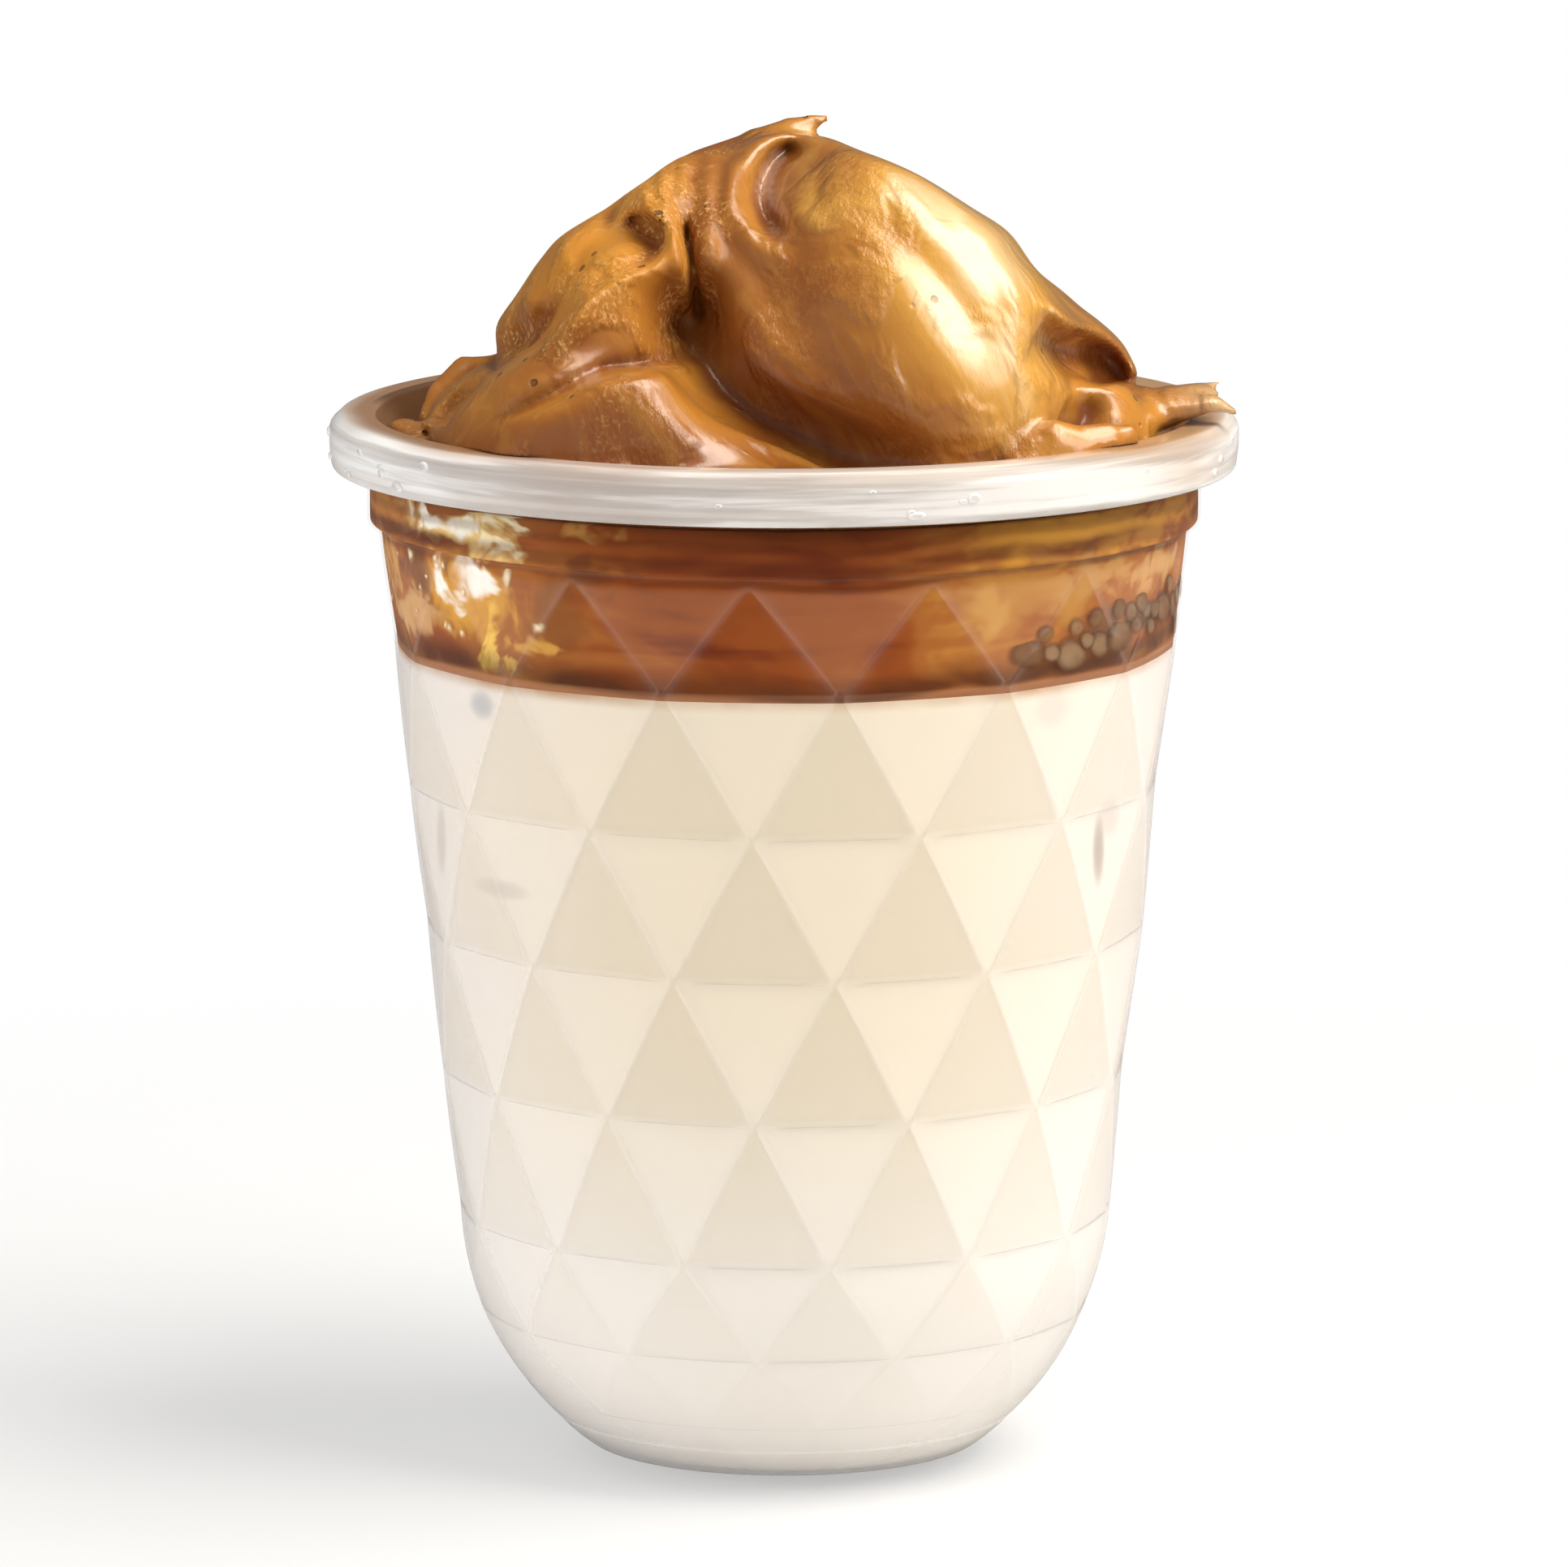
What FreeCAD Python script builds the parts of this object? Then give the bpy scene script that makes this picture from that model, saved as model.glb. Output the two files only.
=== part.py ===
"""Whipped (dalgona) coffee in a round-bottomed plastic cup, millimetres.

Four pieces, one inside the other: the clear faceted cup, the milk, the layer of
coffee that has run down onto the milk, and the whipped coffee heaped above the rim.
The origin is the middle of the flat foot that the cup stands on, +Z is up and
-Y is the front.
"""
import FreeCAD, Part
import Mesh
import Sketcher
import math
import os

SIZES = [
    # The cup's outside, from the foot up
    ("base_flat", 12.0),         # radius of the flat that the cup stands on
    ("heel_radius", 18.4),       # bend from the foot into the rounded bottom
    ("side_radius", 32.8),       # bend from the rounded bottom into the wall
    ("taper", 6.3),              # lean of the wall, degrees
    ("shoulder_radius", 42.5),   # wall just under the stacking step
    ("step_height", 99.5),       # stacking step above the foot
    ("band_radius", 43.6),       # plain band between the step and the rim
    ("wall", 1.0),
    # The rim
    ("cup_height", 111.0),
    ("rim_radius", 47.5),
    ("rim_depth", 5.5),          # from the top down to the skirt's lower edge
    ("rim_plate", 1.6),          # flat top of the rim
    ("rim_skirt", 1.4),
    ("rim_round", 1.3),          # outer top edge
    ("lip_round", 0.6),          # inner top edge
    # Facets: rows of diamonds, each folded along a shallow level valley
    ("facet_count", 14),
    ("facet_relief", 0.35),
    ("facet_ridge", 0.03),       # height of plain wall left at the corners
    ("facet_tip_drop", 0.9),     # upper tips of the first row below the step
    ("facet_valley_drop", 12.2), # valley of the first row below the step
    ("facet_last_valley", 26.5), # valley of the last row above the foot
    ("facet_last_tip", 18.5),    # lower tips of the last row above the foot
    ("facet_turn", 8.1),         # turn of the whole cup about its axis, degrees
    # What is in it
    ("milk_drop", 12.9),         # milk's surface below the step
    ("coffee_drop", 6.5),        # coffee's surface below the rim
    ("cream_drop", 1.7),         # whipped coffee below the rim, where it meets the wall
    ("heap_height", 30.8),       # top of the heap above the rim
]
FACET_ROWS = 5

doc = FreeCAD.newDocument("dalgona_coffee")


def make_sheet():
    """Put every driving size in a spreadsheet cell with an alias."""
    sheet = doc.addObject("Spreadsheet::Sheet", "Sizes")
    for row, (alias, value) in enumerate(SIZES, start=1):
        sheet.set(f"A{row}", alias)
        sheet.set(f"B{row}", str(value))
        sheet.setAlias(f"B{row}", alias)
    doc.recompute()
    return sheet


sheet = make_sheet()


def size(alias):
    return float(sheet.get(alias))


# Levels that other sizes set, as expressions
MILK_LEVEL = "({step_height} - {milk_drop})"
COFFEE_LEVEL = "({cup_height} - {coffee_drop})"


def milk_level():
    return size("step_height") - size("milk_drop")


def coffee_level():
    return size("cup_height") - size("coffee_drop")


def cell(expression):
    """Turn {alias} into a reference to the sheet."""
    return expression.replace("{", "Sizes.").replace("}", "")


WALL_RADIUS = "({shoulder_radius} - ({step_height} - (HEIGHT)) * tan({taper} * 1deg))"


def wall_radius_expression(height, inset="0"):
    """Radius of the tapered wall at a height, moved in squarely by the inset."""
    radius = WALL_RADIUS.replace("HEIGHT", height)
    return f"{radius} - ({inset}) / cos({{taper}} * 1deg)"


def wall_radius(height, inset=0.0):
    lean = math.radians(size("taper"))
    drop = size("step_height") - height
    return size("shoulder_radius") - drop * math.tan(lean) - inset / math.cos(lean)


# ---------------------------------------------------------------- sketches

def new_sketch(body, name):
    """A sketch on the body's upright XZ plane: x is the radius, y the height."""
    plane = next(f for f in body.Origin.OriginFeatures if f.Role == "XZ_Plane")
    sketch = body.newObject("Sketcher::SketchObject", name)
    sketch.AttachmentSupport = [(plane, "")]
    sketch.MapMode = "FlatFace"
    return sketch


def constrain(sketch, name, expression, kind, *where):
    """Add a named constraint and drive it from the sheet."""
    index = sketch.addConstraint(Sketcher.Constraint(kind, *where))
    sketch.renameConstraint(index, name)
    sketch.setExpression(f"Constraints.{name}", cell(expression))


def place_end(sketch, name, line, end, x, z, radius, height):
    """Fix one end of a line at a radius and a height."""
    constrain(sketch, name + "_radius", radius, "DistanceX", -1, 1, line, end, x)
    constrain(sketch, name + "_height", height, "DistanceY", -1, 1, line, end, z)


def add_line(sketch, start, end):
    a = FreeCAD.Vector(start[0], start[1], 0)
    b = FreeCAD.Vector(end[0], end[1], 0)
    return sketch.addGeometry(Part.LineSegment(a, b), False)


def add_arc(sketch, centre, radius, first, last):
    circle = Part.Circle(FreeCAD.Vector(centre[0], centre[1], 0), FreeCAD.Vector(0, 0, 1), radius)
    return sketch.addGeometry(Part.ArcOfCircle(circle, first, last), False)


def side_centre(inset):
    """Centre of the side bend, which touches both the wall and the heel bend."""
    lean = math.radians(size("taper"))
    reach = size("side_radius") - inset
    between = size("side_radius") - size("heel_radius")
    start_x = wall_radius(size("step_height"), inset) - reach * math.cos(lean)
    start_z = size("step_height") + reach * math.sin(lean)
    gap_x = start_x - size("base_flat")
    gap_z = start_z - size("heel_radius")
    along = gap_x * math.sin(lean) + gap_z * math.cos(lean)
    across = gap_x ** 2 + gap_z ** 2 - between ** 2
    slide = along - math.sqrt(along ** 2 - across)
    return start_x - slide * math.sin(lean), start_z - slide * math.cos(lean)


def add_bowl(sketch, prefix, inset, top):
    """Foot, two tangent bends and the tapered wall up to a height.

    inset and top are expressions with their present values: the outline lies
    that far inside the cup's outer face.  Returns the foot line and the wall line.
    """
    inset_text, inset_now = inset
    top_text, top_now = top
    lean = math.radians(size("taper"))
    heel = (size("base_flat"), size("heel_radius"))
    side = side_centre(inset_now)
    turn = math.atan2(heel[0] - side[0], side[1] - heel[1])
    heel_reach = heel[1] - inset_now
    side_reach = size("side_radius") - inset_now
    top_end = (wall_radius(top_now, inset_now), top_now)
    foot = add_line(sketch, (0, inset_now), (heel[0], inset_now))
    bend = add_arc(sketch, heel, heel_reach, -math.pi / 2, turn - math.pi / 2)
    flank = add_arc(sketch, side, side_reach, turn - math.pi / 2, -lean)
    tangent_point = (side[0] + side_reach * math.cos(lean), side[1] - side_reach * math.sin(lean))
    wall_line = add_line(sketch, tangent_point, top_end)
    sketch.addConstraint(Sketcher.Constraint("PointOnObject", foot, 1, -2))
    sketch.addConstraint(Sketcher.Constraint("Horizontal", foot))
    sketch.addConstraint(Sketcher.Constraint("Tangent", foot, 2, bend, 1))
    sketch.addConstraint(Sketcher.Constraint("Tangent", bend, 2, flank, 1))
    sketch.addConstraint(Sketcher.Constraint("Tangent", flank, 2, wall_line, 1))
    if inset_now > 0:
        constrain(sketch, prefix + "_floor", inset_text, "DistanceY", -1, 1, foot, 1, inset_now)
    else:
        sketch.addConstraint(Sketcher.Constraint("PointOnObject", foot, 2, -1))
    constrain(sketch, prefix + "_flat", "{base_flat}", "DistanceX", -1, 1, foot, 2, heel[0])
    constrain(sketch, prefix + "_heel", f"{{heel_radius}} - ({inset_text})", "Radius", bend, heel_reach)
    constrain(sketch, prefix + "_side", f"{{side_radius}} - ({inset_text})", "Radius", flank, side_reach)
    place_end(sketch, prefix + "_top", wall_line, 2, top_end[0], top_end[1],
              wall_radius_expression(top_text, inset_text), top_text)
    constrain(sketch, prefix + "_lean", "90 - {taper}", "Angle", wall_line, math.pi / 2 - lean)
    return foot, wall_line


def add_path(sketch, prefix, first, corners, last):
    """Straight lines from the end of one line, through named corners, to another.

    first and last are (line, end).  Each corner is (name, x, z, radius, height),
    the last two being expressions.
    """
    joint = first
    for name, x, z, radius, height in corners:
        start = sketch.getPoint(*joint)
        line = add_line(sketch, (start.x, start.y), (x, z))
        sketch.addConstraint(Sketcher.Constraint("Coincident", joint[0], joint[1], line, 1))
        if radius == "0":
            sketch.addConstraint(Sketcher.Constraint("PointOnObject", line, 2, -2))
            constrain(sketch, f"{prefix}_{name}_height", height, "DistanceY", -1, 1, line, 2, z)
        else:
            place_end(sketch, f"{prefix}_{name}", line, 2, x, z, radius, height)
        joint = (line, 2)
    start = sketch.getPoint(*joint)
    end = sketch.getPoint(*last)
    line = add_line(sketch, (start.x, start.y), (end.x, end.y))
    sketch.addConstraint(Sketcher.Constraint("Coincident", joint[0], joint[1], line, 1))
    sketch.addConstraint(Sketcher.Constraint("Coincident", line, 2, last[0], last[1]))


def revolve(body, sketch, name):
    feature = body.newObject("PartDesign::Revolution", name)
    feature.Profile = sketch
    feature.ReferenceAxis = (sketch, ["V_Axis"])
    feature.Angle = 360
    sketch.Visibility = False
    doc.recompute()
    return feature


def new_body(name):
    body = doc.addObject("PartDesign::Body", name)
    body.Label = name
    return body


# ---------------------------------------------------------------- the cup

def cup_outline(sketch):
    """Half section of the cup: bowl, stacking band, rim with its skirt, inner face."""
    step = size("step_height")
    wall = size("wall")
    top = size("cup_height")
    band = size("band_radius")
    rim = size("rim_radius")
    skirt_in = rim - size("rim_skirt")
    under = top - size("rim_plate")
    hem = top - size("rim_depth")
    outer = add_bowl(sketch, "outer", ("0", 0.0), ("{step_height}", step))
    inner = add_bowl(sketch, "inner", ("{wall}", wall), ("{step_height} + {wall}", step + wall))
    corners = [
        ("step", band, step, "{band_radius}", "{step_height}"),
        ("under", band, under, "{band_radius}", "{cup_height} - {rim_plate}"),
        ("groove", skirt_in, under, "{rim_radius} - {rim_skirt}", "{cup_height} - {rim_plate}"),
        ("hem_in", skirt_in, hem, "{rim_radius} - {rim_skirt}", "{cup_height} - {rim_depth}"),
        ("hem_out", rim, hem, "{rim_radius}", "{cup_height} - {rim_depth}"),
        ("rim", rim, top, "{rim_radius}", "{cup_height}"),
        ("lip", band - wall, top, "{band_radius} - {wall}", "{cup_height}"),
        ("ledge", band - wall, step + wall, "{band_radius} - {wall}", "{step_height} + {wall}"),
    ]
    add_path(sketch, "cup", (outer[1], 2), corners, (inner[1], 2))
    add_path(sketch, "axis", (inner[0], 1), [], (outer[0], 1))


def ring_edges(shape, radius, height):
    """Names of the round edges of one radius at one height."""
    names = []
    for number, edge in enumerate(shape.Edges, start=1):
        if isinstance(edge.Curve, Part.Circle):
            right_size = abs(edge.Curve.Radius - radius) < 1e-4
            if right_size and abs(edge.Curve.Center.z - height) < 1e-4:
                names.append(f"Edge{number}")
    return names


def round_edge(body, base, name, radius_alias, ring_radius):
    """Round the cup's top edge of the given radius."""
    fillet = body.newObject("PartDesign::Fillet", name)
    fillet.Base = (base, ring_edges(base.Shape, ring_radius, size("cup_height")))
    fillet.setExpression("Radius", cell("{" + radius_alias + "}"))
    doc.recompute()
    return fillet


def valley_height(row):
    """Expression and present value of a row's valley; the rows are evenly spaced."""
    share = row / (FACET_ROWS - 1)
    first = size("step_height") - size("facet_valley_drop")
    first_text = "({step_height} - {facet_valley_drop})"
    now = first + (size("facet_last_valley") - first) * share
    return f"{first_text} + ({{facet_last_valley}} - {first_text}) * {share}", now


def facet_row(row):
    """Expressions and present values of a row's upper tip, valley and lower tip."""
    if row == 0:
        above = ("{step_height} - {facet_tip_drop}", size("step_height") - size("facet_tip_drop"))
    else:
        above = valley_height(row - 1)
    if row == FACET_ROWS - 1:
        below = ("{facet_last_tip}", size("facet_last_tip"))
    else:
        below = valley_height(row + 1)
    return above, valley_height(row), below


def cut_facets(body, row):
    """Cut one row of folded diamonds into the wall.

    The cutting outline is a flat V that turns about an upright line behind the
    cup's axis, so that the cut runs out exactly at the next diamond's corner.
    """
    relief = size("facet_relief")
    ridge = size("facet_ridge")
    above, valley, below = facet_row(row)
    radius_now = wall_radius(valley[1])
    radius_text = wall_radius_expression(valley[0])
    rise = 1 - math.cos(math.pi / size("facet_count"))
    rise_text = "(1 - cos(180deg / {facet_count}))"
    behind = relief * (radius_now - relief / 2) / (radius_now * rise - relief)
    behind_text = (f"{{facet_relief}} * ({radius_text} - {{facet_relief}} / 2)"
                   f" / (({radius_text}) * {rise_text} - {{facet_relief}})")
    clear_now = size("rim_radius") + size("wall")
    clear_text = "{rim_radius} + {wall}"
    sketch = new_sketch(body, f"facet_section_{row}")
    if row % 2:
        sketch.AttachmentOffset = FreeCAD.Placement(
            FreeCAD.Vector(0, 0, 0), FreeCAD.Rotation(FreeCAD.Vector(0, 1, 0), 180 / size("facet_count")))
        sketch.setExpression("AttachmentOffset.Rotation.Angle", cell("180deg / {facet_count}"))
    far_up = (clear_now, above[1])
    far_down = (clear_now, below[1])
    back = add_line(sketch, far_down, far_up)
    place_end(sketch, "far_low", back, 1, far_down[0], far_down[1], clear_text, below[0])
    place_end(sketch, "far_high", back, 2, far_up[0], far_up[1], clear_text, above[0])
    corners = []
    for name, (text, now), deep_text, deep in (
            ("tip_high", above, "-{facet_ridge}", -ridge),
            ("valley", valley, "{facet_relief} - {facet_ridge}", relief - ridge),
            ("tip_low", below, "-{facet_ridge}", -ridge)):
        corners.append((name, tip_radius(now) - deep, now, f"{tip_expression(text, now)} - ({deep_text})", text))
    add_path(sketch, "cut", (back, 2), corners, (back, 1))
    axis = sketch.addGeometry(Part.LineSegment(FreeCAD.Vector(-behind, 0, 0),
                                               FreeCAD.Vector(-behind, radius_now, 0)), True)
    sketch.addConstraint(Sketcher.Constraint("Vertical", axis))
    sketch.addConstraint(Sketcher.Constraint("PointOnObject", axis, 1, -1))
    constrain(sketch, "axis_length", "{shoulder_radius}", "DistanceY", axis, 1, axis, 2, radius_now)
    constrain(sketch, "axis_behind", behind_text, "DistanceX", axis, 1, -1, 1, behind)
    groove = body.newObject("PartDesign::Groove", f"facet_{row}")
    groove.Profile = sketch
    groove.ReferenceAxis = (sketch, ["Axis0"])
    groove.Midplane = True
    groove.setExpression("Angle", cell("360deg / {facet_count}"))
    sketch.Visibility = False
    doc.recompute()
    pattern = body.newObject("PartDesign::PolarPattern", f"facet_row_{row}")
    pattern.Originals = [groove]
    pattern.Axis = (sketch, ["V_Axis"])
    pattern.Angle = 360
    pattern.setExpression("Occurrences", cell("{facet_count}"))
    body.Tip = pattern
    doc.recompute()
    return pattern


def tip_radius(height):
    """Radius of the cup's outer face, on the wall or on the side bend under it."""
    side_x, side_z = side_centre(0.0)
    reach = size("side_radius")
    join = side_z - reach * math.sin(math.radians(size("taper")))
    if height >= join:
        return wall_radius(height)
    return side_x + math.sqrt(reach ** 2 - (side_z - height) ** 2)


def tip_expression(height_text, height_now):
    """The wall's radius, less what the side bend takes off it below the wall."""
    loss = wall_radius(height_now) - tip_radius(height_now)
    if loss < 1e-9:
        return wall_radius_expression(height_text)
    return f"{wall_radius_expression(height_text)} - {loss:.4f}"


def make_cup():
    body = new_body("cup")
    sketch = new_sketch(body, "cup_section")
    cup_outline(sketch)
    feature = revolve(body, sketch, "cup_turned")
    feature = round_edge(body, feature, "rim_rounding", "rim_round", size("rim_radius"))
    feature = round_edge(body, feature, "lip_rounding", "lip_round", size("band_radius") - size("wall"))
    for row in range(FACET_ROWS):
        before = feature.Shape.Volume
        feature = cut_facets(body, row)
        if feature.Shape.Volume > before - 1.0:
            raise RuntimeError(f"facet row {row} cut nothing")
    body.Placement.Rotation = FreeCAD.Rotation(FreeCAD.Vector(0, 0, 1), size("facet_turn"))
    body.setExpression("Placement.Rotation.Angle", cell("{facet_turn} * 1deg"))
    doc.recompute()
    return body


# ---------------------------------------------------------------- the drink

def make_milk():
    """Milk fills the cup's inner face up to its level."""
    body = new_body("milk")
    sketch = new_sketch(body, "milk_section")
    level = milk_level()
    foot, wall_line = add_bowl(sketch, "milk", ("{wall}", size("wall")), (MILK_LEVEL, level))
    add_path(sketch, "top", (wall_line, 2), [("middle", 0, level, "0", MILK_LEVEL)], (foot, 1))
    revolve(body, sketch, "milk_turned")
    return body


def make_coffee_layer():
    """Coffee between the milk and the whipped coffee, past the stacking step."""
    body = new_body("coffee_layer")
    sketch = new_sketch(body, "coffee_section")
    wall = size("wall")
    low = milk_level()
    high = coffee_level()
    ledge = size("step_height") + wall
    mouth = size("band_radius") - wall
    base = add_line(sketch, (0, low), (wall_radius(low, wall), low))
    sketch.addConstraint(Sketcher.Constraint("PointOnObject", base, 1, -2))
    sketch.addConstraint(Sketcher.Constraint("Horizontal", base))
    place_end(sketch, "foot", base, 2, wall_radius(low, wall), low,
              wall_radius_expression(MILK_LEVEL, "{wall}"), MILK_LEVEL)
    ledge_text = "{step_height} + {wall}"
    corners = [
        ("ledge_in", wall_radius(ledge, wall), ledge, wall_radius_expression(ledge_text, "{wall}"), ledge_text),
        ("ledge_out", mouth, ledge, "{band_radius} - {wall}", ledge_text),
        ("top", mouth, high, "{band_radius} - {wall}", COFFEE_LEVEL),
        ("middle", 0, high, "0", COFFEE_LEVEL),
    ]
    add_path(sketch, "layer", (base, 2), corners, (base, 1))
    revolve(body, sketch, "coffee_turned")
    return body


# ---------------------------------------------------------------- the whipped coffee

# The heap is a smooth union of strokes: each is a string of balls (x, y, z, radius)
# with z above the rim, and a blend that says how softly it runs into the rest.
# They are drawn for a mouth and a heap of these sizes and stretch with the real ones.
DRAWN_MOUTH = 42.6
DRAWN_HEAP = 30.8
HEAP_STROKES = [
    (4.0, [(0, 3, -6, 31.0), (1, 3, -1, 28.6)]),                                     # core of the heap
    (3.0, [(4, -8, 14, 13.0), (13, -15, 5, 18.5), (15, -16, -5, 20.5)]),             # big front lobe
    (3.0, [(20, 2, 6, 13.0), (28, -2, -1, 11.0)]),                                   # right flank
    (3.0, [(-11, -3, 15, 10.0), (-20, -5, 6, 11.5)]),                                # left shoulder
    (3.0, [(-23, -12, 0, 11.0), (-30, -11, -3, 8.0)]),                               # left flank
    (2.0, [(-27, -20, -4, 7.0), (-15, -30, -3, 8.0), (-4, -33, -4, 8.5)]),           # lobe along the rim
    (2.5, [(-10, 22, 2, 13.5), (12, 23, 1, 14.0)]),                                  # back of the heap
    (1.5, [(-11, -15, 17, 3.6), (-11, -22, 13, 3.6), (-18, -24, 7, 3.4),
           (-26, -23, 2, 3.2), (-33, -18, -1, 2.8)]),                                # folded ribbon
    (2.0, [(-24, 4, 5, 5.0), (-33, 2, 2, 4.0), (-36, -6, -1, 3.2)]),                 # lump at the left rim
    (2.0, [(-4, 0, 24, 6.0), (0, 0, 27.6, 3.4), (3.0, 0, 29.6, 1.6), (4.2, 0, 30.2, 0.6)]),  # peak
    (1.5, [(24, -10, 8, 4.0), (30, -10, 6, 4.0), (34, -12, 2, 3.6), (33, -15, -1, 3.0)]),    # curl at the right
    (1.5, [(31, -13, 0, 3.6), (36, -10, 0.4, 2.6), (39.5, -7, 1.4, 1.8)]),           # tail of the curl
    (1.5, [(24, -28, -1, 4.0), (30, -26, 0, 3.0), (34, -22, 0.6, 2.0)]),             # low curl at the rim
]
HEAP_CREASES = [
    (2.0, [(-8, -23, 16, 1.6), (-6, -29, 9, 2.6), (-1, -37, 3, 3.0), (8, -41, 1, 2.2)]),     # deep crease
    (1.5, [(2, -17, 27, 1.4), (-3, -20, 23, 1.6), (0, -24, 18, 1.2)]),               # groove under the peak
    (1.5, [(-34, -9, 5, 2.2), (-38, -14, 2, 2.0)]),                                  # dark fold at the left
]
HEAP_AROUND = 96
HEAP_RINGS = 42
EASING_PASSES = 3
MARCH_STEPS = 60
HALVINGS = 12


def stroke_distance(point, balls):
    """Distance from a point to a string of balls joined by cones."""
    best = 1e9
    for (ax, ay, az, ar), (bx, by, bz, br) in zip(balls, balls[1:]):
        dx, dy, dz = bx - ax, by - ay, bz - az
        px, py, pz = point[0] - ax, point[1] - ay, point[2] - az
        along = (px * dx + py * dy + pz * dz) / (dx * dx + dy * dy + dz * dz)
        along = min(1.0, max(0.0, along))
        gap = math.sqrt((px - along * dx) ** 2 + (py - along * dy) ** 2 + (pz - along * dz) ** 2)
        best = min(best, gap - ar - along * (br - ar))
    return best


def soft_min(a, b, blend):
    near = max(blend - abs(a - b), 0.0) / blend
    return min(a, b) - near * near * blend / 4


def heap_field(x, y, rise):
    """Below zero inside the whipped coffee; rise is the height above the rim."""
    spread = (size_now["band_radius"] - size_now["wall"]) / DRAWN_MOUTH
    lift = size_now["heap_height"] / DRAWN_HEAP
    pool = -size_now["cream_drop"]
    point = (x / spread, y / spread, rise / lift)
    field = rise - pool
    for blend, balls in HEAP_STROKES:
        field = soft_min(field, stroke_distance(point, balls), blend)
    for blend, balls in HEAP_CREASES:
        field = -soft_min(-field, stroke_distance(point, balls), blend)
    return field


def heap_reach(turn, climb):
    """How far the whipped coffee reaches from the middle of its foot in one direction."""
    mouth = size_now["band_radius"] - size_now["wall"]
    foot = -size_now["coffee_drop"]
    level = math.cos(climb)
    direction = (level * math.cos(turn), level * math.sin(turn), math.sin(climb))
    furthest = mouth / level if level > 0.3 else 2 * mouth
    step = furthest / MARCH_STEPS
    outside = furthest
    for number in range(MARCH_STEPS, 0, -1):
        inside = number * step
        if heap_field(direction[0] * inside, direction[1] * inside, foot + direction[2] * inside) < 0:
            break
        outside = inside
    if outside == furthest and level > 0.3:
        return mouth / level
    for _ in range(HALVINGS):
        middle = (inside + outside) / 2
        if heap_field(direction[0] * middle, direction[1] * middle, foot + direction[2] * middle) < 0:
            inside = middle
        else:
            outside = middle
    return inside


def eased(reaches):
    """Average each reach with its four neighbours, so that overhangs end softly."""
    result = [list(row) for row in reaches]
    for ring in range(2, HEAP_RINGS - 1):
        for step in range(HEAP_AROUND):
            around = reaches[ring][step - 1] + reaches[ring][(step + 1) % HEAP_AROUND]
            along = reaches[ring - 1][step] + reaches[ring + 1][step]
            result[ring][step] = reaches[ring][step] / 2 + (around + along) / 8
    return result


def heap_points():
    """Rings of points over the heap, from its foot to its top."""
    foot_height = coffee_level()
    mouth = size_now["band_radius"] - size_now["wall"]
    rim_climb = math.atan2(size_now["coffee_drop"] - size_now["cream_drop"], mouth)
    climbs = [0.0]
    for ring in range(1, HEAP_RINGS):
        share = (ring - 1) / (HEAP_RINGS - 1)
        climbs.append(rim_climb + (math.pi / 2 - rim_climb) * share)
    turns = [2 * math.pi * step / HEAP_AROUND for step in range(HEAP_AROUND)]
    reaches = [[mouth] * HEAP_AROUND]
    for climb in climbs[1:]:
        reaches.append([heap_reach(turn, climb) for turn in turns])
    for _ in range(EASING_PASSES):
        reaches = eased(reaches)
    rings = []
    for climb, row in zip(climbs, reaches):
        points = []
        for turn, reach in zip(turns, row):
            out = min(reach * math.cos(climb), mouth)
            points.append(FreeCAD.Vector(out * math.cos(turn), out * math.sin(turn),
                                         foot_height + reach * math.sin(climb)))
        rings.append(points)
    top = FreeCAD.Vector(0, 0, foot_height + heap_reach(0.0, math.pi / 2))
    return rings, top


def make_whipped_coffee():
    """Faceted solid that fills the mouth and heaps above the rim."""
    rings, top = heap_points()
    middle = FreeCAD.Vector(0, 0, coffee_level())
    triangles = []
    for low, high in zip(rings, rings[1:]):
        for step in range(HEAP_AROUND):
            after = (step + 1) % HEAP_AROUND
            triangles.append((low[step], low[after], high[after]))
            triangles.append((low[step], high[after], high[step]))
    for step in range(HEAP_AROUND):
        after = (step + 1) % HEAP_AROUND
        triangles.append((middle, rings[0][after], rings[0][step]))
        triangles.append((rings[-1][step], rings[-1][after], top))
    surface = Part.Shape()
    surface.makeShapeFromMesh(Mesh.Mesh(triangles).Topology, 1e-4)
    solid = Part.Solid(Part.Shell(surface.Faces))
    heap = doc.addObject("Part::Feature", "whipped_coffee")
    heap.Label = "whipped_coffee"
    heap.Shape = solid
    heap.Placement = FreeCAD.Placement()
    return heap


# ---------------------------------------------------------------- build and write

def check_and_write(pieces):
    """Stop on any failed object or bad shape, then write one STEP file a piece."""
    doc.recompute()
    for item in doc.Objects:
        if "Invalid" in item.State or "Error" in item.State:
            raise RuntimeError(f"{item.Label} failed: {item.State}")
    for piece in pieces:
        shape = piece.Shape
        if shape.isNull() or not shape.isValid() or len(shape.Solids) != 1 or shape.Volume <= 0:
            raise RuntimeError(f"{piece.Label} is not one sound solid")
    os.makedirs("parts", exist_ok=True)
    for piece in pieces:
        piece.Shape.exportStep(f"parts/{piece.Label}.step")
        box = piece.Shape.BoundBox
        print(f"{piece.Label}: {piece.Shape.Volume / 1000:.1f} ml, z {box.ZMin:.2f} to {box.ZMax:.2f}")


size_now = {alias: size(alias) for alias, _ in SIZES}
check_and_write([make_cup(), make_milk(), make_coffee_layer(), make_whipped_coffee()])
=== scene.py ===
"""Looks of an iced dalgona coffee: frosted faceted cup, milk, coffee layer and whipped heap."""
import math
import random

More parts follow.
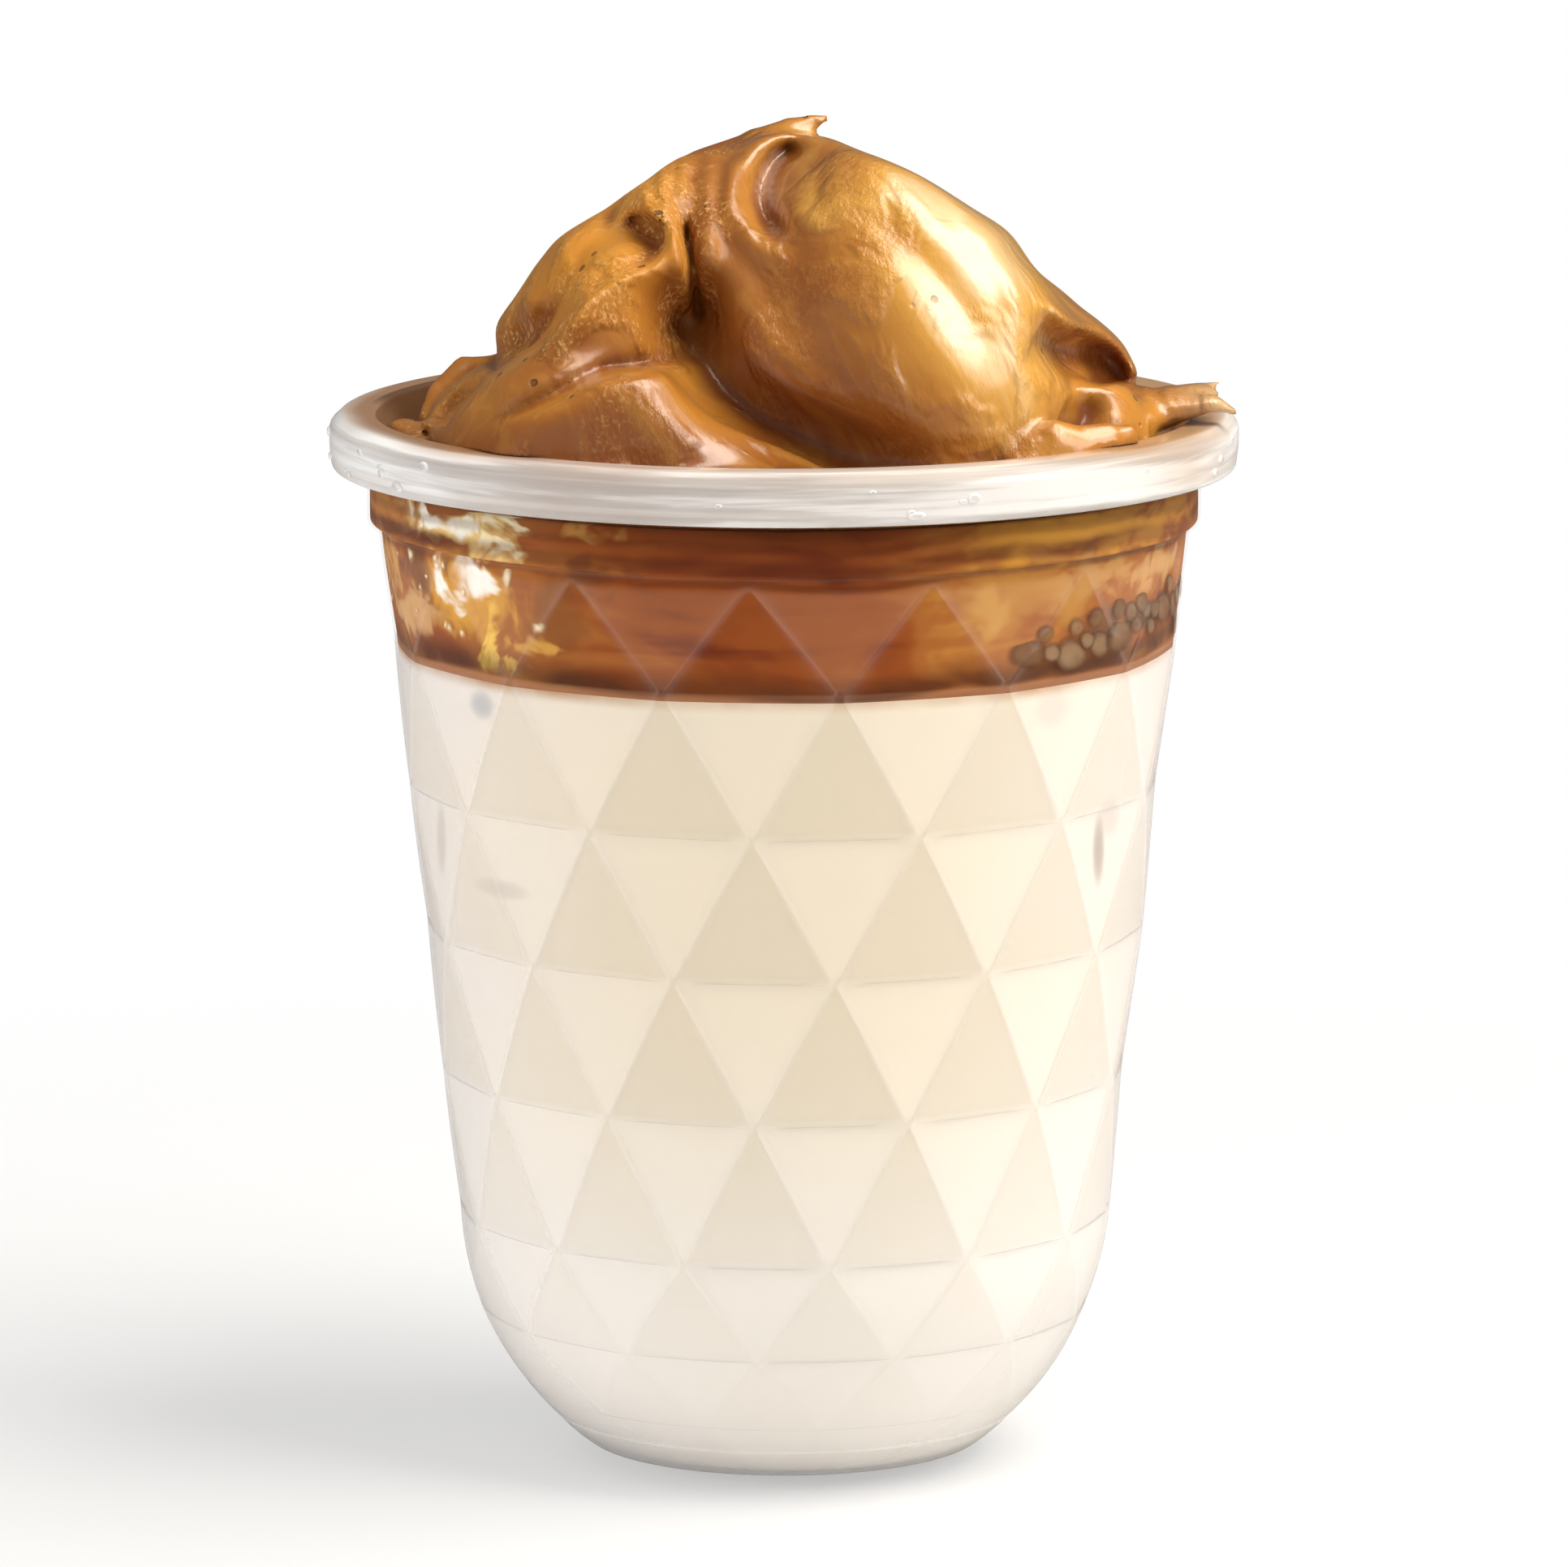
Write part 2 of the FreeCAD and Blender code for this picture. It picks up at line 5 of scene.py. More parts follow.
import bpy
import numpy as np
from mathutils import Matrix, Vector


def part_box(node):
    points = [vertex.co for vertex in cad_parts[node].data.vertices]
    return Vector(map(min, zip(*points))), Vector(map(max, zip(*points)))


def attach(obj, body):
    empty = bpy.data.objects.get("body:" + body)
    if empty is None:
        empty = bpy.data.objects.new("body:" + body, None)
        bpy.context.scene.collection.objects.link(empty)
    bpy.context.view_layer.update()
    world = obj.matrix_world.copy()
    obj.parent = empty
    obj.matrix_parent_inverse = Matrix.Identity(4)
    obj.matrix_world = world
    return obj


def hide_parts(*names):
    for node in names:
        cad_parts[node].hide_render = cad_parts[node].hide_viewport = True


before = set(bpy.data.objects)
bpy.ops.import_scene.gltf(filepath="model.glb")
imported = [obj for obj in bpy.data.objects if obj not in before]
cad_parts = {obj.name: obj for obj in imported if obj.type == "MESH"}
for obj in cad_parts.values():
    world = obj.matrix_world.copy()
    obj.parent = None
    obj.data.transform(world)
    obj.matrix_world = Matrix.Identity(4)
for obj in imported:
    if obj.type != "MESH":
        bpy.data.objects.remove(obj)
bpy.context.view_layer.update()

bl_info = {
    "name": "Iced Dalgona Coffee",
    "version": (1, 0, 0),
    "blender": (4, 5, 0),
    "location": "View3D > Sidebar > Dalgona Coffee",
    "description": "Builds a cup of milk with whipped coffee around its solid model",
    "category": "Add Mesh",
}

MM = 0.001
ROOT = "root"
UP = Vector((0.0, 0.0, 1.0))
WHITE = (1.0, 1.0, 1.0)
DROP_SEED, BUBBLE_SEED, GLINT_SEED = 23, 11, 5
SNAP = 0.002                 # points nearer than this are one, in millimetres

# Sizes of the solid model: tops in metres, then levels and radii in millimetres
_, CUP_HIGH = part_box("cup")
_, MILK_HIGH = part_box("milk")
_, COFFEE_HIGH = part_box("coffee_layer")
_, CREAM_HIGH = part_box("whipped_coffee")
RIM_TOP = CUP_HIGH.z
MILK_TOP = MILK_HIGH.z
CUP_TOP = CUP_HIGH.z / MM
RIM_RADIUS = CUP_HIGH.x / MM
MOUTH = CREAM_HIGH.x / MM
MILK_LEVEL = MILK_HIGH.z / MM
COFFEE_LEVEL = COFFEE_HIGH.z / MM


# ---------------------------------------------------------------- settings

def length(name, text, default):
    """A length in metres."""
    return bpy.props.FloatProperty(name=name, description=text, default=default, unit="LENGTH", precision=5)


def angle(name, text, degrees):
    return bpy.props.FloatProperty(name=name, description=text, default=math.radians(degrees),
                                   subtype="ANGLE")


def power(name, text, default):
    return bpy.props.FloatProperty(name=name, description=text, default=default, unit="POWER")


def number(name, text, default):
    return bpy.props.FloatProperty(name=name, description=text, default=default)


def share(name, text, default):
    """A part of the whole, from 0 to 1."""
    return bpy.props.FloatProperty(name=name, description=text, default=default, min=0.0, max=1.0,
                                   subtype="FACTOR")


def colour(name, text, default):
    return bpy.props.FloatVectorProperty(name=name, description=text, default=default, size=3, min=0.0,
                                         max=1.0, subtype="COLOR")


class CupSettings(bpy.types.PropertyGroup):
    """Sizes and finish of the plastic cup."""
    base_flat: length("Foot", "Radius of the flat foot", 0.012)
    heel_radius: length("Heel bend", "Bend from the foot into the rounded bottom", 0.0184)
    side_radius: length("Side bend", "Bend from the rounded bottom into the wall", 0.0328)
    taper: angle("Taper", "Lean of the wall", 6.3)
    shoulder_radius: length("Shoulder", "Outer radius of the wall under the step", 0.0425)
    step_height: length("Step", "Height of the stacking step", 0.0995)
    band_radius: length("Band", "Outer radius of the plain band under the rim", 0.0436)
    wall: length("Wall", "Thickness of the plastic", 0.001)
    rim_depth: length("Rim depth", "Height of the rim's hanging skirt", 0.0055)
    rim_plate: length("Rim plate", "Thickness of the rim's top", 0.0016)
    rim_skirt: length("Rim skirt", "Thickness of the rim's skirt", 0.0014)
    facet_count: bpy.props.IntProperty(name="Facets", description="Diamonds in one row", default=14)
    facet_turn: angle("Facet turn", "Where the facets start around", -4.8)
    facet_relief: length("Facet relief", "Depth of the facets' level valleys", 0.0005)
    plastic: colour("Plastic", "Colour of the frosted plastic", (0.88, 0.84, 0.83))
    haze: share("Haze", "How much of the wall's plastic shows when faced squarely", 0.06)
    edge_haze: share("Edge haze", "How much shows where the wall turns away", 0.62)
    rim_haze: share("Rim haze", "How much of the thick rim's plastic shows", 0.60)


class DrinkSettings(bpy.types.PropertyGroup):
    """Colours of the milk and of the coffee layer."""
    milk: colour("Milk", "Cream-coloured milk", (0.90, 0.80, 0.64))
    # Painted shade: the milk's colour at the sides and near the bottom
    milk_edge_shade: colour("Milk edge", "Milk near the bottom and at the sides", (0.84, 0.78, 0.73))
    coffee_dark: colour("Dark coffee", "Reddish middle of the coffee layer", (0.15, 0.024, 0.006))
    coffee_mid: colour("Coffee", "Main colour of the coffee layer", (0.28, 0.066, 0.012))
    coffee_gold: colour("Gold coffee", "Lit, thinner coffee at the sides", (0.51, 0.225, 0.042))
    reach: length("Reach", "How far the drink reaches into the wall", 0.0007)


class HeapSettings(bpy.types.PropertyGroup):
    """Whipped coffee."""
    cell: length("Cell", "Size of the mesh cells of the heap", 0.00048)
    cream: colour("Whipped coffee", "Colour of the whipped coffee", (0.52, 0.207, 0.021))
    # Painted shade: the colour in the folds and the colour of what is turned from the light
    cream_fold_shade: colour("Deep fold", "Colour in the folds", (0.25, 0.062, 0.010))
    cream_shade: colour("Shaded", "Colour of what is turned from the light", (0.215, 0.054, 0.008))
    film: colour("Film", "Thin film at the cup's wall", (0.38, 0.20, 0.08))
    pool_drop: length("Pool drop", "Whipped coffee below the rim where it meets the wall", 0.0016)


class StageSettings(bpy.types.PropertyGroup):
    """Light, floor and camera."""
    floor: colour("Floor", "Colour of the floor", (0.78, 0.78, 0.78))
    floor_in_gloss: colour("Floor in gloss", "Colour of the floor as gloss shows it", (0.25, 0.25, 0.25))
    ambient: number("Ambient", "Light from all round", 0.41)
    reflected: number("Reflected", "The room as gloss shows it", 0.08)
    key_power: power("Key", "Softbox at the front right", 1.75)
    top_power: power("Top", "Softbox above, to the right", 5.6)
    fill_power: power("Fill", "Softbox at the left", 4.3)
    camera_distance: length("Camera distance", "From the cup's axis", 1.1807)
    camera_height: length("Camera height", "Above the floor", 0.2746)
    aim_height: length("Aim", "Height that the camera looks at", 0.0714)
    lens: number("Lens", "Focal length in millimetres", 261.8)


# ---------------------------------------------------------------- mesh helpers

def make_object(name, vertices, faces, material, smooth=True):
    """A mesh object in metres from points in millimetres."""
    mesh = bpy.data.meshes.new(name)
    mesh.from_pydata((np.asarray(vertices, float) * MM).tolist(), [], faces)
    mesh.validate()
    mesh.update()
    mesh.polygons.foreach_set("use_smooth", [smooth] * len(mesh.polygons))
    mesh.materials.append(material)
    piece = bpy.data.objects.new(name, mesh)
    bpy.context.scene.collection.objects.link(piece)
    return piece


def add_attribute(piece, name, values):
    """One number for each point, for a material to read."""
    layer = piece.data.attributes.new(name, "FLOAT", "POINT")
    layer.data.foreach_set("value", np.asarray(values, np.float32))


def weld(vertices, faces, marks):
    """Merge points that coincide and drop the faces that collapse."""
    keys = np.round(vertices / SNAP).astype(np.int64)
    _, first, inverse = np.unique(keys, axis=0, return_index=True, return_inverse=True)
    inverse = inverse.ravel()
    kept = []
    for face in faces:
        ring = []
        for corner in face:
            point = int(inverse[corner])
            if not ring or (point != ring[-1] and point != ring[0]):
                ring.append(point)
        if len(ring) > 2:
            kept.append(ring)
    return vertices[first], kept, marks[first]


def grid_faces(rows, columns):
    """Quads of a grid whose rows close on themselves."""
    faces = []
    for row in range(rows - 1):
        for column in range(columns):
            after = (column + 1) % columns
            a, b = row * columns + column, row * columns + after
            faces.append((a, b, b + columns, a + columns))
    return faces


def finish_piece(piece, slot, *nodes):
    """Ride on the one body and stand for the solids; the slot is not used."""
    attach(piece, ROOT)
    if nodes:
        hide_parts(*nodes)


# ---------------------------------------------------------------- material helpers

class Nodes:
    """Short ways to add and join shader nodes."""

    def __init__(self, name):
        self.material = bpy.data.materials.new(name)
        self.material.use_nodes = True
        self.tree = self.material.node_tree
        self.tree.nodes.clear()
        self.output = self.add("ShaderNodeOutputMaterial")

    def add(self, kind, **values):
        node = self.tree.nodes.new(kind)
        for key, value in values.items():
            setattr(node, key, value)
        return node

    def set(self, socket, value):
        """Link a socket to another node, or give it a plain value."""
        if isinstance(value, bpy.types.NodeSocket):
            self.tree.links.new(value, socket)
        elif socket.type == "RGBA":
            socket.default_value = (value[0], value[1], value[2], 1.0)
        else:
            socket.default_value = value

    def principled(self, **values):
        """Principled shader with its sockets given by name."""
        shader = self.add("ShaderNodeBsdfPrincipled")
        for key, value in values.items():
            self.set(shader.inputs[key.replace("_", " ")], value)
        return shader

    def math(self, kind, a, b=0.0, clamp=False):
        node = self.add("ShaderNodeMath", operation=kind, use_clamp=clamp)
        self.set(node.inputs[0], a)
        self.set(node.inputs[1], b)
        return node.outputs[0]

    def plus(self, a, b, clamp=False):
        return self.math("ADD", a, b, clamp)

    def minus(self, a, b, clamp=False):
        return self.math("SUBTRACT", a, b, clamp)

    def times(self, a, b):
        return self.math("MULTIPLY", a, b)

    def mix(self, factor, a, b):
        """Colour that goes from one to the other with the factor."""
        node = self.add("ShaderNodeMix", data_type="RGBA")
        self.set(node.inputs[0], factor)
        self.set(node.inputs[6], a)
        self.set(node.inputs[7], b)
        return node.outputs[2]

    def mix_numbers(self, factor, a, b):
        node = self.add("ShaderNodeMix", data_type="FLOAT")
        self.set(node.inputs[0], factor)
        self.set(node.inputs[2], a)
        self.set(node.inputs[3], b)
        return node.outputs[0]

    def ramp(self, value, low, high, out_low=0.0, out_high=1.0, kind="SMOOTHSTEP"):
        """Number that goes from out_low to out_high while the value goes from low to high."""
        node = self.add("ShaderNodeMapRange", interpolation_type=kind)
        for socket, number in zip(node.inputs, (value, low, high, out_low, out_high)):
            self.set(socket, number)
        return node.outputs[0]

    def noise(self, scale, detail=3.0, stretch=(1.0, 1.0, 1.0), roughness=0.5, distortion=0.0, vector=None):
        """Noise over the piece's own coordinates; scale is in turns a metre."""
        mapping = self.add("ShaderNodeMapping")
        self.set(mapping.inputs["Vector"], vector or self.place())
        mapping.inputs["Scale"].default_value = stretch
        node = self.add("ShaderNodeTexNoise")
        self.set(node.inputs["Vector"], mapping.outputs[0])
        node.inputs["Scale"].default_value = scale
        node.inputs["Detail"].default_value = detail
        node.inputs["Roughness"].default_value = roughness
        node.inputs["Distortion"].default_value = distortion
        return node.outputs["Fac"]

    def leaning_noise(self, scale, lean, longer, detail):
        """Noise drawn out along a line that leans from the vertical, seen from the front."""
        mapping = self.add("ShaderNodeMapping", vector_type="TEXTURE")
        self.set(mapping.inputs["Vector"], self.place())
        mapping.inputs["Rotation"].default_value = (0.0, lean, 0.0)
        mapping.inputs["Scale"].default_value = (1.0, 1.0, longer)
        return self.noise(scale, detail, distortion=0.6, vector=mapping.outputs[0])

    def radius(self):
        """Distance from the cup's axis."""
        x, y, _ = self.axes()
        return self.math("SQRT", self.squares(x, y))

    def squares(self, a, b):
        return self.plus(self.times(a, a), self.times(b, b))

    def around(self):
        """Place on the cup that has the way across the rim as its third part."""
        x, y, z = self.axes()
        node = self.add("ShaderNodeCombineXYZ")
        self.set(node.inputs[0], x)
        self.set(node.inputs[1], y)
        self.set(node.inputs[2], self.minus(z, self.radius()))
        return node.outputs[0]

    def colours(self, value, stops):
        """Colour ramp from (place, colour) pairs."""
        node = self.add("ShaderNodeValToRGB")
        node.color_ramp.interpolation = "EASE"
        self.set(node.inputs[0], value)
        ramp = node.color_ramp.elements
        while len(ramp) < len(stops):
            ramp.new(0.5)
        for element, (place, tint) in zip(ramp, stops):
            element.position = place
            element.color = (*tint, 1.0)
        return node.outputs[0]

    def place(self):
        """The point on the piece, in metres in the shared frame."""
        return self.add("ShaderNodeTexCoord").outputs["Object"]

    def axes(self):
        """The three parts of place()."""
        node = self.add("ShaderNodeSeparateXYZ")
        self.set(node.inputs[0], self.place())
        return node.outputs

    def attribute(self, name):
        return self.add("ShaderNodeAttribute", attribute_name=name).outputs["Fac"]

    def facing(self, blend):
        """How far the face turns away: 0 when met squarely, 1 at the edge."""
        node = self.add("ShaderNodeLayerWeight")
        node.inputs["Blend"].default_value = blend
        return node.outputs["Facing"]

    def bump(self, height, strength, distance):
        node = self.add("ShaderNodeBump")
        self.set(node.inputs["Height"], height)
        node.inputs["Strength"].default_value = strength
        node.inputs["Distance"].default_value = distance
        return node.outputs[0]

    def spot(self, x, z, place, size):
        """Soft round mark at a place across and up."""
        across = self.math("DIVIDE", self.minus(x, place[0] * MM), size[0] * MM)
        up = self.math("DIVIDE", self.minus(z, place[1] * MM), size[1] * MM)
        return self.ramp(self.squares(across, up), 1.0, 0.0)

    def marks(self, paint, marks, x, z, front):
        """Lay a list of soft marks over a colour, on the front only."""
        for place, size, strength, tint in marks:
            share = self.times(self.spot(x, z, place, size), self.times(front, strength))
            paint = self.mix(share, paint, tint)
        return paint

    def end(self, shader):
        """Send the shader to the output and give back the material."""
        self.set(self.output.inputs["Surface"], shader.outputs[0])
        return self.material


# ---------------------------------------------------------------- the cup's shape

# Heights of the facet rows' valleys in millimetres, from the foot up; the first and last
# are the plain ends of the faceted wall. Then how deep each valley's facets are.
FACET_RINGS = [2.6, 8.0, 16.2, 26.5, 41.7, 56.9, 72.1, 87.3, 98.6]
RING_RELIEF = [0.0, 0.12, 0.45, 0.85, 1.0, 1.0, 1.0, 1.0, 0.0]
# Columns of points across one triangle, how much of the ridge each is, and rows in one band
TRIANGLE_COLUMNS = [0.0, 0.03, 0.07, 0.15, 0.27, 0.38, 0.5, 0.62, 0.73, 0.85, 0.93, 0.97]
RIDGE_SHARE = {0.0: 1.0, 0.03: 0.7, 0.97: 0.7, 0.07: 0.2, 0.93: 0.2}
BAND_ROWS = [0.0, 0.05, 0.18, 0.34, 0.5, 0.66, 0.82, 0.95]
LEAST_ROW = 0.05             # rows of points lie further apart than this, in millimetres


class CupForm:
    """Radius of the cup's outer face by height and turn, in millimetres."""

    def __init__(self, cup):
        self.flat = cup.base_flat / MM
        self.heel = cup.heel_radius / MM
        self.side = cup.side_radius / MM
        self.lean = cup.taper
        self.shoulder = cup.shoulder_radius / MM
        self.step = cup.step_height / MM
        self.band = cup.band_radius / MM
        self.wall = cup.wall / MM
        self.count = cup.facet_count
        self.turn = cup.facet_turn
        self.relief = cup.facet_relief / MM
        self.half = math.pi / self.count
        reach = self.side * math.cos(self.lean)
        start_x = self.shoulder - reach
        start_z = self.step + self.side * math.sin(self.lean)
        gap_x, gap_z = start_x - self.flat, start_z - self.heel
        along = gap_x * math.sin(self.lean) + gap_z * math.cos(self.lean)
        across = gap_x ** 2 + gap_z ** 2 - (self.side - self.heel) ** 2
        slide = along - math.sqrt(along ** 2 - across)
        self.side_x = start_x - slide * math.sin(self.lean)
        self.side_z = start_z - slide * math.cos(self.lean)
        self.join = self.side_z - self.side * math.sin(self.lean)
        turn = math.atan2(self.flat - self.side_x, self.side_z - self.heel)
        self.bend = self.heel - self.heel * math.cos(turn)

    def radius(self, height):
        """Outer radius of the plain wall, bends and heel."""
        if height >= self.join:
            return self.shoulder - (self.step - height) * math.tan(self.lean)
        if height >= self.bend:
            return self.side_x + math.sqrt(self.side ** 2 - (self.side_z - height) ** 2)
        return self.flat + math.sqrt(max(self.heel ** 2 - (self.heel - height) ** 2, 0.0))

    def slope(self, height):
        """Outward and downward parts of the face's normal."""
        step = 0.01
        lean = (self.radius(height + step) - self.radius(max(height - step, 0.0))) / (2 * step)
        size = math.hypot(1.0, lean)
        return 1.0 / size, -lean / size

    def row_columns(self, band, share):
        """Turns, ridge marks and up or down sides of one row of points in a band of triangles."""
        turns, ridge, facet = [], [], []
        start = self.turn + (self.half if band % 2 else 0.0)
        for tooth in range(self.count):
            left = start + 2 * self.half * (tooth + share / 2)
            middle = start + 2 * self.half * (tooth + 1 - share / 2)
            right = start + 2 * self.half * (tooth + 1 + share / 2)
            for low, high, side in ((left, middle, 1.0), (middle, right, 0.0)):
                for part in TRIANGLE_COLUMNS:
                    turns.append(low + (high - low) * part)
                    ridge.append(RIDGE_SHARE.get(part, 0.0))
                    facet.append(side)
        return turns, ridge, facet

    def facet_depth(self, band, share, turn):
        """How far the folded diamonds lie inside the plain wall."""
        start = self.turn + (self.half if band % 2 else 0.0)
        depth = 0.0
        for ring, level, centre in ((band, 1.0 - share, start + self.half), (band + 1, share, start)):
            away = (turn - centre) / (2 * self.half)
            away = abs(away - round(away)) * 2
            depth = max(depth, RING_RELIEF[ring] * (level - away * away))
        return self.relief * max(depth, 0.0)

    def faceted_rows(self, low, high, inset):
        """Rows of points between two heights, moved in squarely from the outer face."""
        rows = []
        for band, (start, end) in enumerate(zip(FACET_RINGS, FACET_RINGS[1:])):
            if start >= high or end <= low:
                continue
            tall, first = end - start, max(start, low)
            shares = [(first - start) / tall]
            shares += [part for part in BAND_ROWS
                       if first + LEAST_ROW < start + part * tall < high - LEAST_ROW]
            shares.append(1.0 if end <= high + 1e-6 else (high - start) / tall)
            for part in shares:
                height = start + part * tall
                out, down = self.slope(height)
                plain = self.radius(height) - inset * out
                turns, ridge, facet = self.row_columns(band, part)
                points = []
                for turn in turns:
                    reach = plain - self.facet_depth(band, part, turn)
                    points.append((reach * math.sin(turn), -reach * math.cos(turn), height + inset * down))
                rows.append((points, ridge, facet))
        return rows

    def plain_row(self, radius, height):
        """A round row with the points above those of the last faceted row."""
        turns, _, _ = self.row_columns(len(FACET_RINGS) - 2, 1.0)
        points = [(radius * math.sin(turn), -radius * math.cos(turn), height) for turn in turns]
        return points, [0.0] * len(turns), [0.5] * len(turns)


def rounded(corners, radius, steps):
    """Round the corners of an open outline of (radius, height) points."""
    path = [corners[0]]
    for before, corner, after in zip(corners, corners[1:], corners[2:]):
        a, b, c = Vector(before), Vector(corner), Vector(after)
        cut = min(radius, (a - b).length / 2, (c - b).length / 2)
        start, end = b + (a - b).normalized() * cut, b + (c - b).normalized() * cut
        for step in range(steps + 1):
            t = step / steps
            point = start * (1 - t) ** 2 + b * 2 * t * (1 - t) + end * t ** 2
            path.append((point.x, point.y))
    path.append(corners[-1])
    return path


def close_end(faces, row_start, columns, centre, upward):
    """Close a row with a fan to a point on the axis."""
    for column in range(columns):
        fan = (row_start + column, row_start + (column + 1) % columns, centre)
        faces.append(fan if upward else fan[::-1])


def closed_piece(name, rows, low, high, material, mark):
    """A closed mesh from rows of (points, ridge, facet), with one of the two marks as an attribute."""
    columns = len(rows[0][0])
    points = [point for row, _, _ in rows for point in row]
    marks = {
        "ridge": [value for _, values, _ in rows for value in values] + [0.0, 0.0],
        "facet": [value for _, _, values in rows for value in values] + [0.5, 0.5],
    }
    faces = grid_faces(len(rows), columns)
    close_end(faces, 0, columns, len(points), False)
    close_end(faces, (len(rows) - 1) * columns, columns, len(points) + 1, True)
    points += [(0.0, 0.0, low), (0.0, 0.0, high)]
    vertices, faces, kept = weld(np.array(points), faces, np.array(marks[mark]))
    piece = make_object(name, vertices, faces, material)
    add_attribute(piece, mark, kept)
    return piece


# ---------------------------------------------------------------- plastic

def plastic_material(cup):
    """Frosted plastic: thin haze on the wall, cloudy and streaked in the thick rim."""
    n = Nodes("frosted_plastic")
    x, y, z = n.axes()
    radius = n.radius()
    skirt = RIM_TOP - cup.rim_depth
    in_rim = n.ramp(z, skirt - 0.0004, skirt + 0.0002)
    streak = n.noise(420.0, 4.0, (0.05, 0.05, 1.0), 0.6, 0.2, vector=n.around())
    cloud = n.noise(60.0, 2.0, (0.5, 0.5, 1.0), vector=n.around())
    facing = n.facing(0.42)

    # The wall: clearer above the milk, with painted highlight lines along the folds' ridges
    clear = n.ramp(z, MILK_TOP - 0.001, MILK_TOP + 0.0006, 1.0, 0.12)
    haze = n.times(n.ramp(facing, 0.1, 1.0, cup.haze, cup.edge_haze, "LINEAR"), clear)
    ridge = n.times(n.attribute("ridge"), n.ramp(z, 0.006, 0.030))
    haze = n.plus(haze, n.times(ridge, n.ramp(clear, 0.12, 1.0, 0.055, 0.14)))

    # The rim: cloudy, streaked around, with a painted highlight line along its lower edge
    rim = n.ramp(cloud, 0.3, 0.7, cup.rim_haze - 0.08, cup.rim_haze + 0.08)
    rim = n.plus(rim, n.ramp(streak, 0.46, 0.62, 0.0, 0.26))
    rim = n.plus(rim, n.ramp(facing, 0.2, 0.95, 0.0, 0.3), clamp=True)
    above_edge = n.math("ABSOLUTE", n.minus(z, skirt + 0.0013))
    rim = n.plus(rim, n.ramp(above_edge, 0.0005, 0.0001, 0.0, 0.3), clamp=True)
    in_streak = n.ramp(streak, 0.35, 0.62)
    # Painted light: the rim is painted paler towards the left and greyer over the rest
    bright = n.mix(in_streak, (0.76, 0.71, 0.68), (0.93, 0.92, 0.91))
    greyer = n.mix(in_streak, (0.60, 0.54, 0.50), (0.82, 0.79, 0.77))
    in_front = n.times(n.ramp(x, -0.040, -0.010), n.ramp(x, 0.0478, 0.042))
    cloudy = n.mix(in_front, bright, greyer)

    # Thin smear of whipped coffee on the inner part of the rim's top, with painted shade at the left and
    # painted light at the right
    uneven_radius = n.plus(radius, n.ramp(cloud, 0.3, 0.7, -0.0014, 0.0014, "LINEAR"))
    smear = n.ramp(uneven_radius, 0.0479, 0.0448)
    smear = n.times(smear, n.ramp(z, RIM_TOP - 0.0052, RIM_TOP - 0.0042))
    smear = n.times(smear, n.ramp(y, -0.040, -0.030, 0.35, 0.92))
    cloudy = n.mix(smear, cloudy, n.mix(n.ramp(x, -0.03, 0.03), (0.34, 0.16, 0.055), (0.40, 0.22, 0.09)))
    rim = n.plus(rim, n.times(smear, 0.4), clamp=True)

    # Shaded coffee on the inside, in the hollow at the left
    inside = n.times(n.ramp(radius, 0.0440, 0.0434), n.ramp(x, -0.024, -0.032))
    uneven_y = n.plus(y, n.ramp(cloud, 0.3, 0.7, -0.006, 0.006))
    inside = n.times(inside, n.ramp(uneven_y, 0.008, 0.016, 0.0, 0.85))
    cloudy = n.mix(inside, cloudy, (0.10, 0.040, 0.014))

    shader = n.principled(Base_Color=n.mix(in_rim, cup.plastic, cloudy), Roughness=0.2, IOR=1.49,
                          Alpha=n.mix_numbers(in_rim, haze, rim),
                          Normal=n.bump(n.times(streak, in_rim), 0.25, 0.0002))
    return n.end(shader)


class DALGONA_OT_cup(bpy.types.Operator):
    """Build the frosted faceted cup"""
    bl_idname = "dalgona.cup"
    bl_label = "Cup"

    def execute(self, context):
        cup = context.scene.dalgona_cup
        form = CupForm(cup)
        rim_low = CUP_TOP - cup.rim_depth / MM
        plate = CUP_TOP - cup.rim_plate / MM
        skirt = RIM_RADIUS - cup.rim_skirt / MM
        ledge = form.step + form.wall
        top = FACET_RINGS[-1]
        rows = form.faceted_rows(0.0, top, 0.0)
        outer = [(form.radius(top), top), (form.shoulder, form.step), (form.band, form.step + 0.1),
                 (form.band, plate), (skirt, plate), (skirt, rim_low),
                 (RIM_RADIUS - 0.25, rim_low), (RIM_RADIUS, rim_low + 2.0), (RIM_RADIUS, CUP_TOP - 1.2),
                 (RIM_RADIUS - 1.3, CUP_TOP), (MOUTH, CUP_TOP), (MOUTH, ledge),
                 (form.radius(ledge) - form.wall, ledge), (form.radius(top) - form.wall, top)]
        rows += [form.plain_row(radius, height) for radius, height in rounded(outer, 0.45, 4)[1:-1]]
        rows += form.faceted_rows(0.0, top, form.wall)[::-1]
        piece = closed_piece("cup_shell", rows, 0.0, form.wall, plastic_material(cup), "ridge")
        finish_piece(piece, "cup_plastic", "cup")
        return {"FINISHED"}
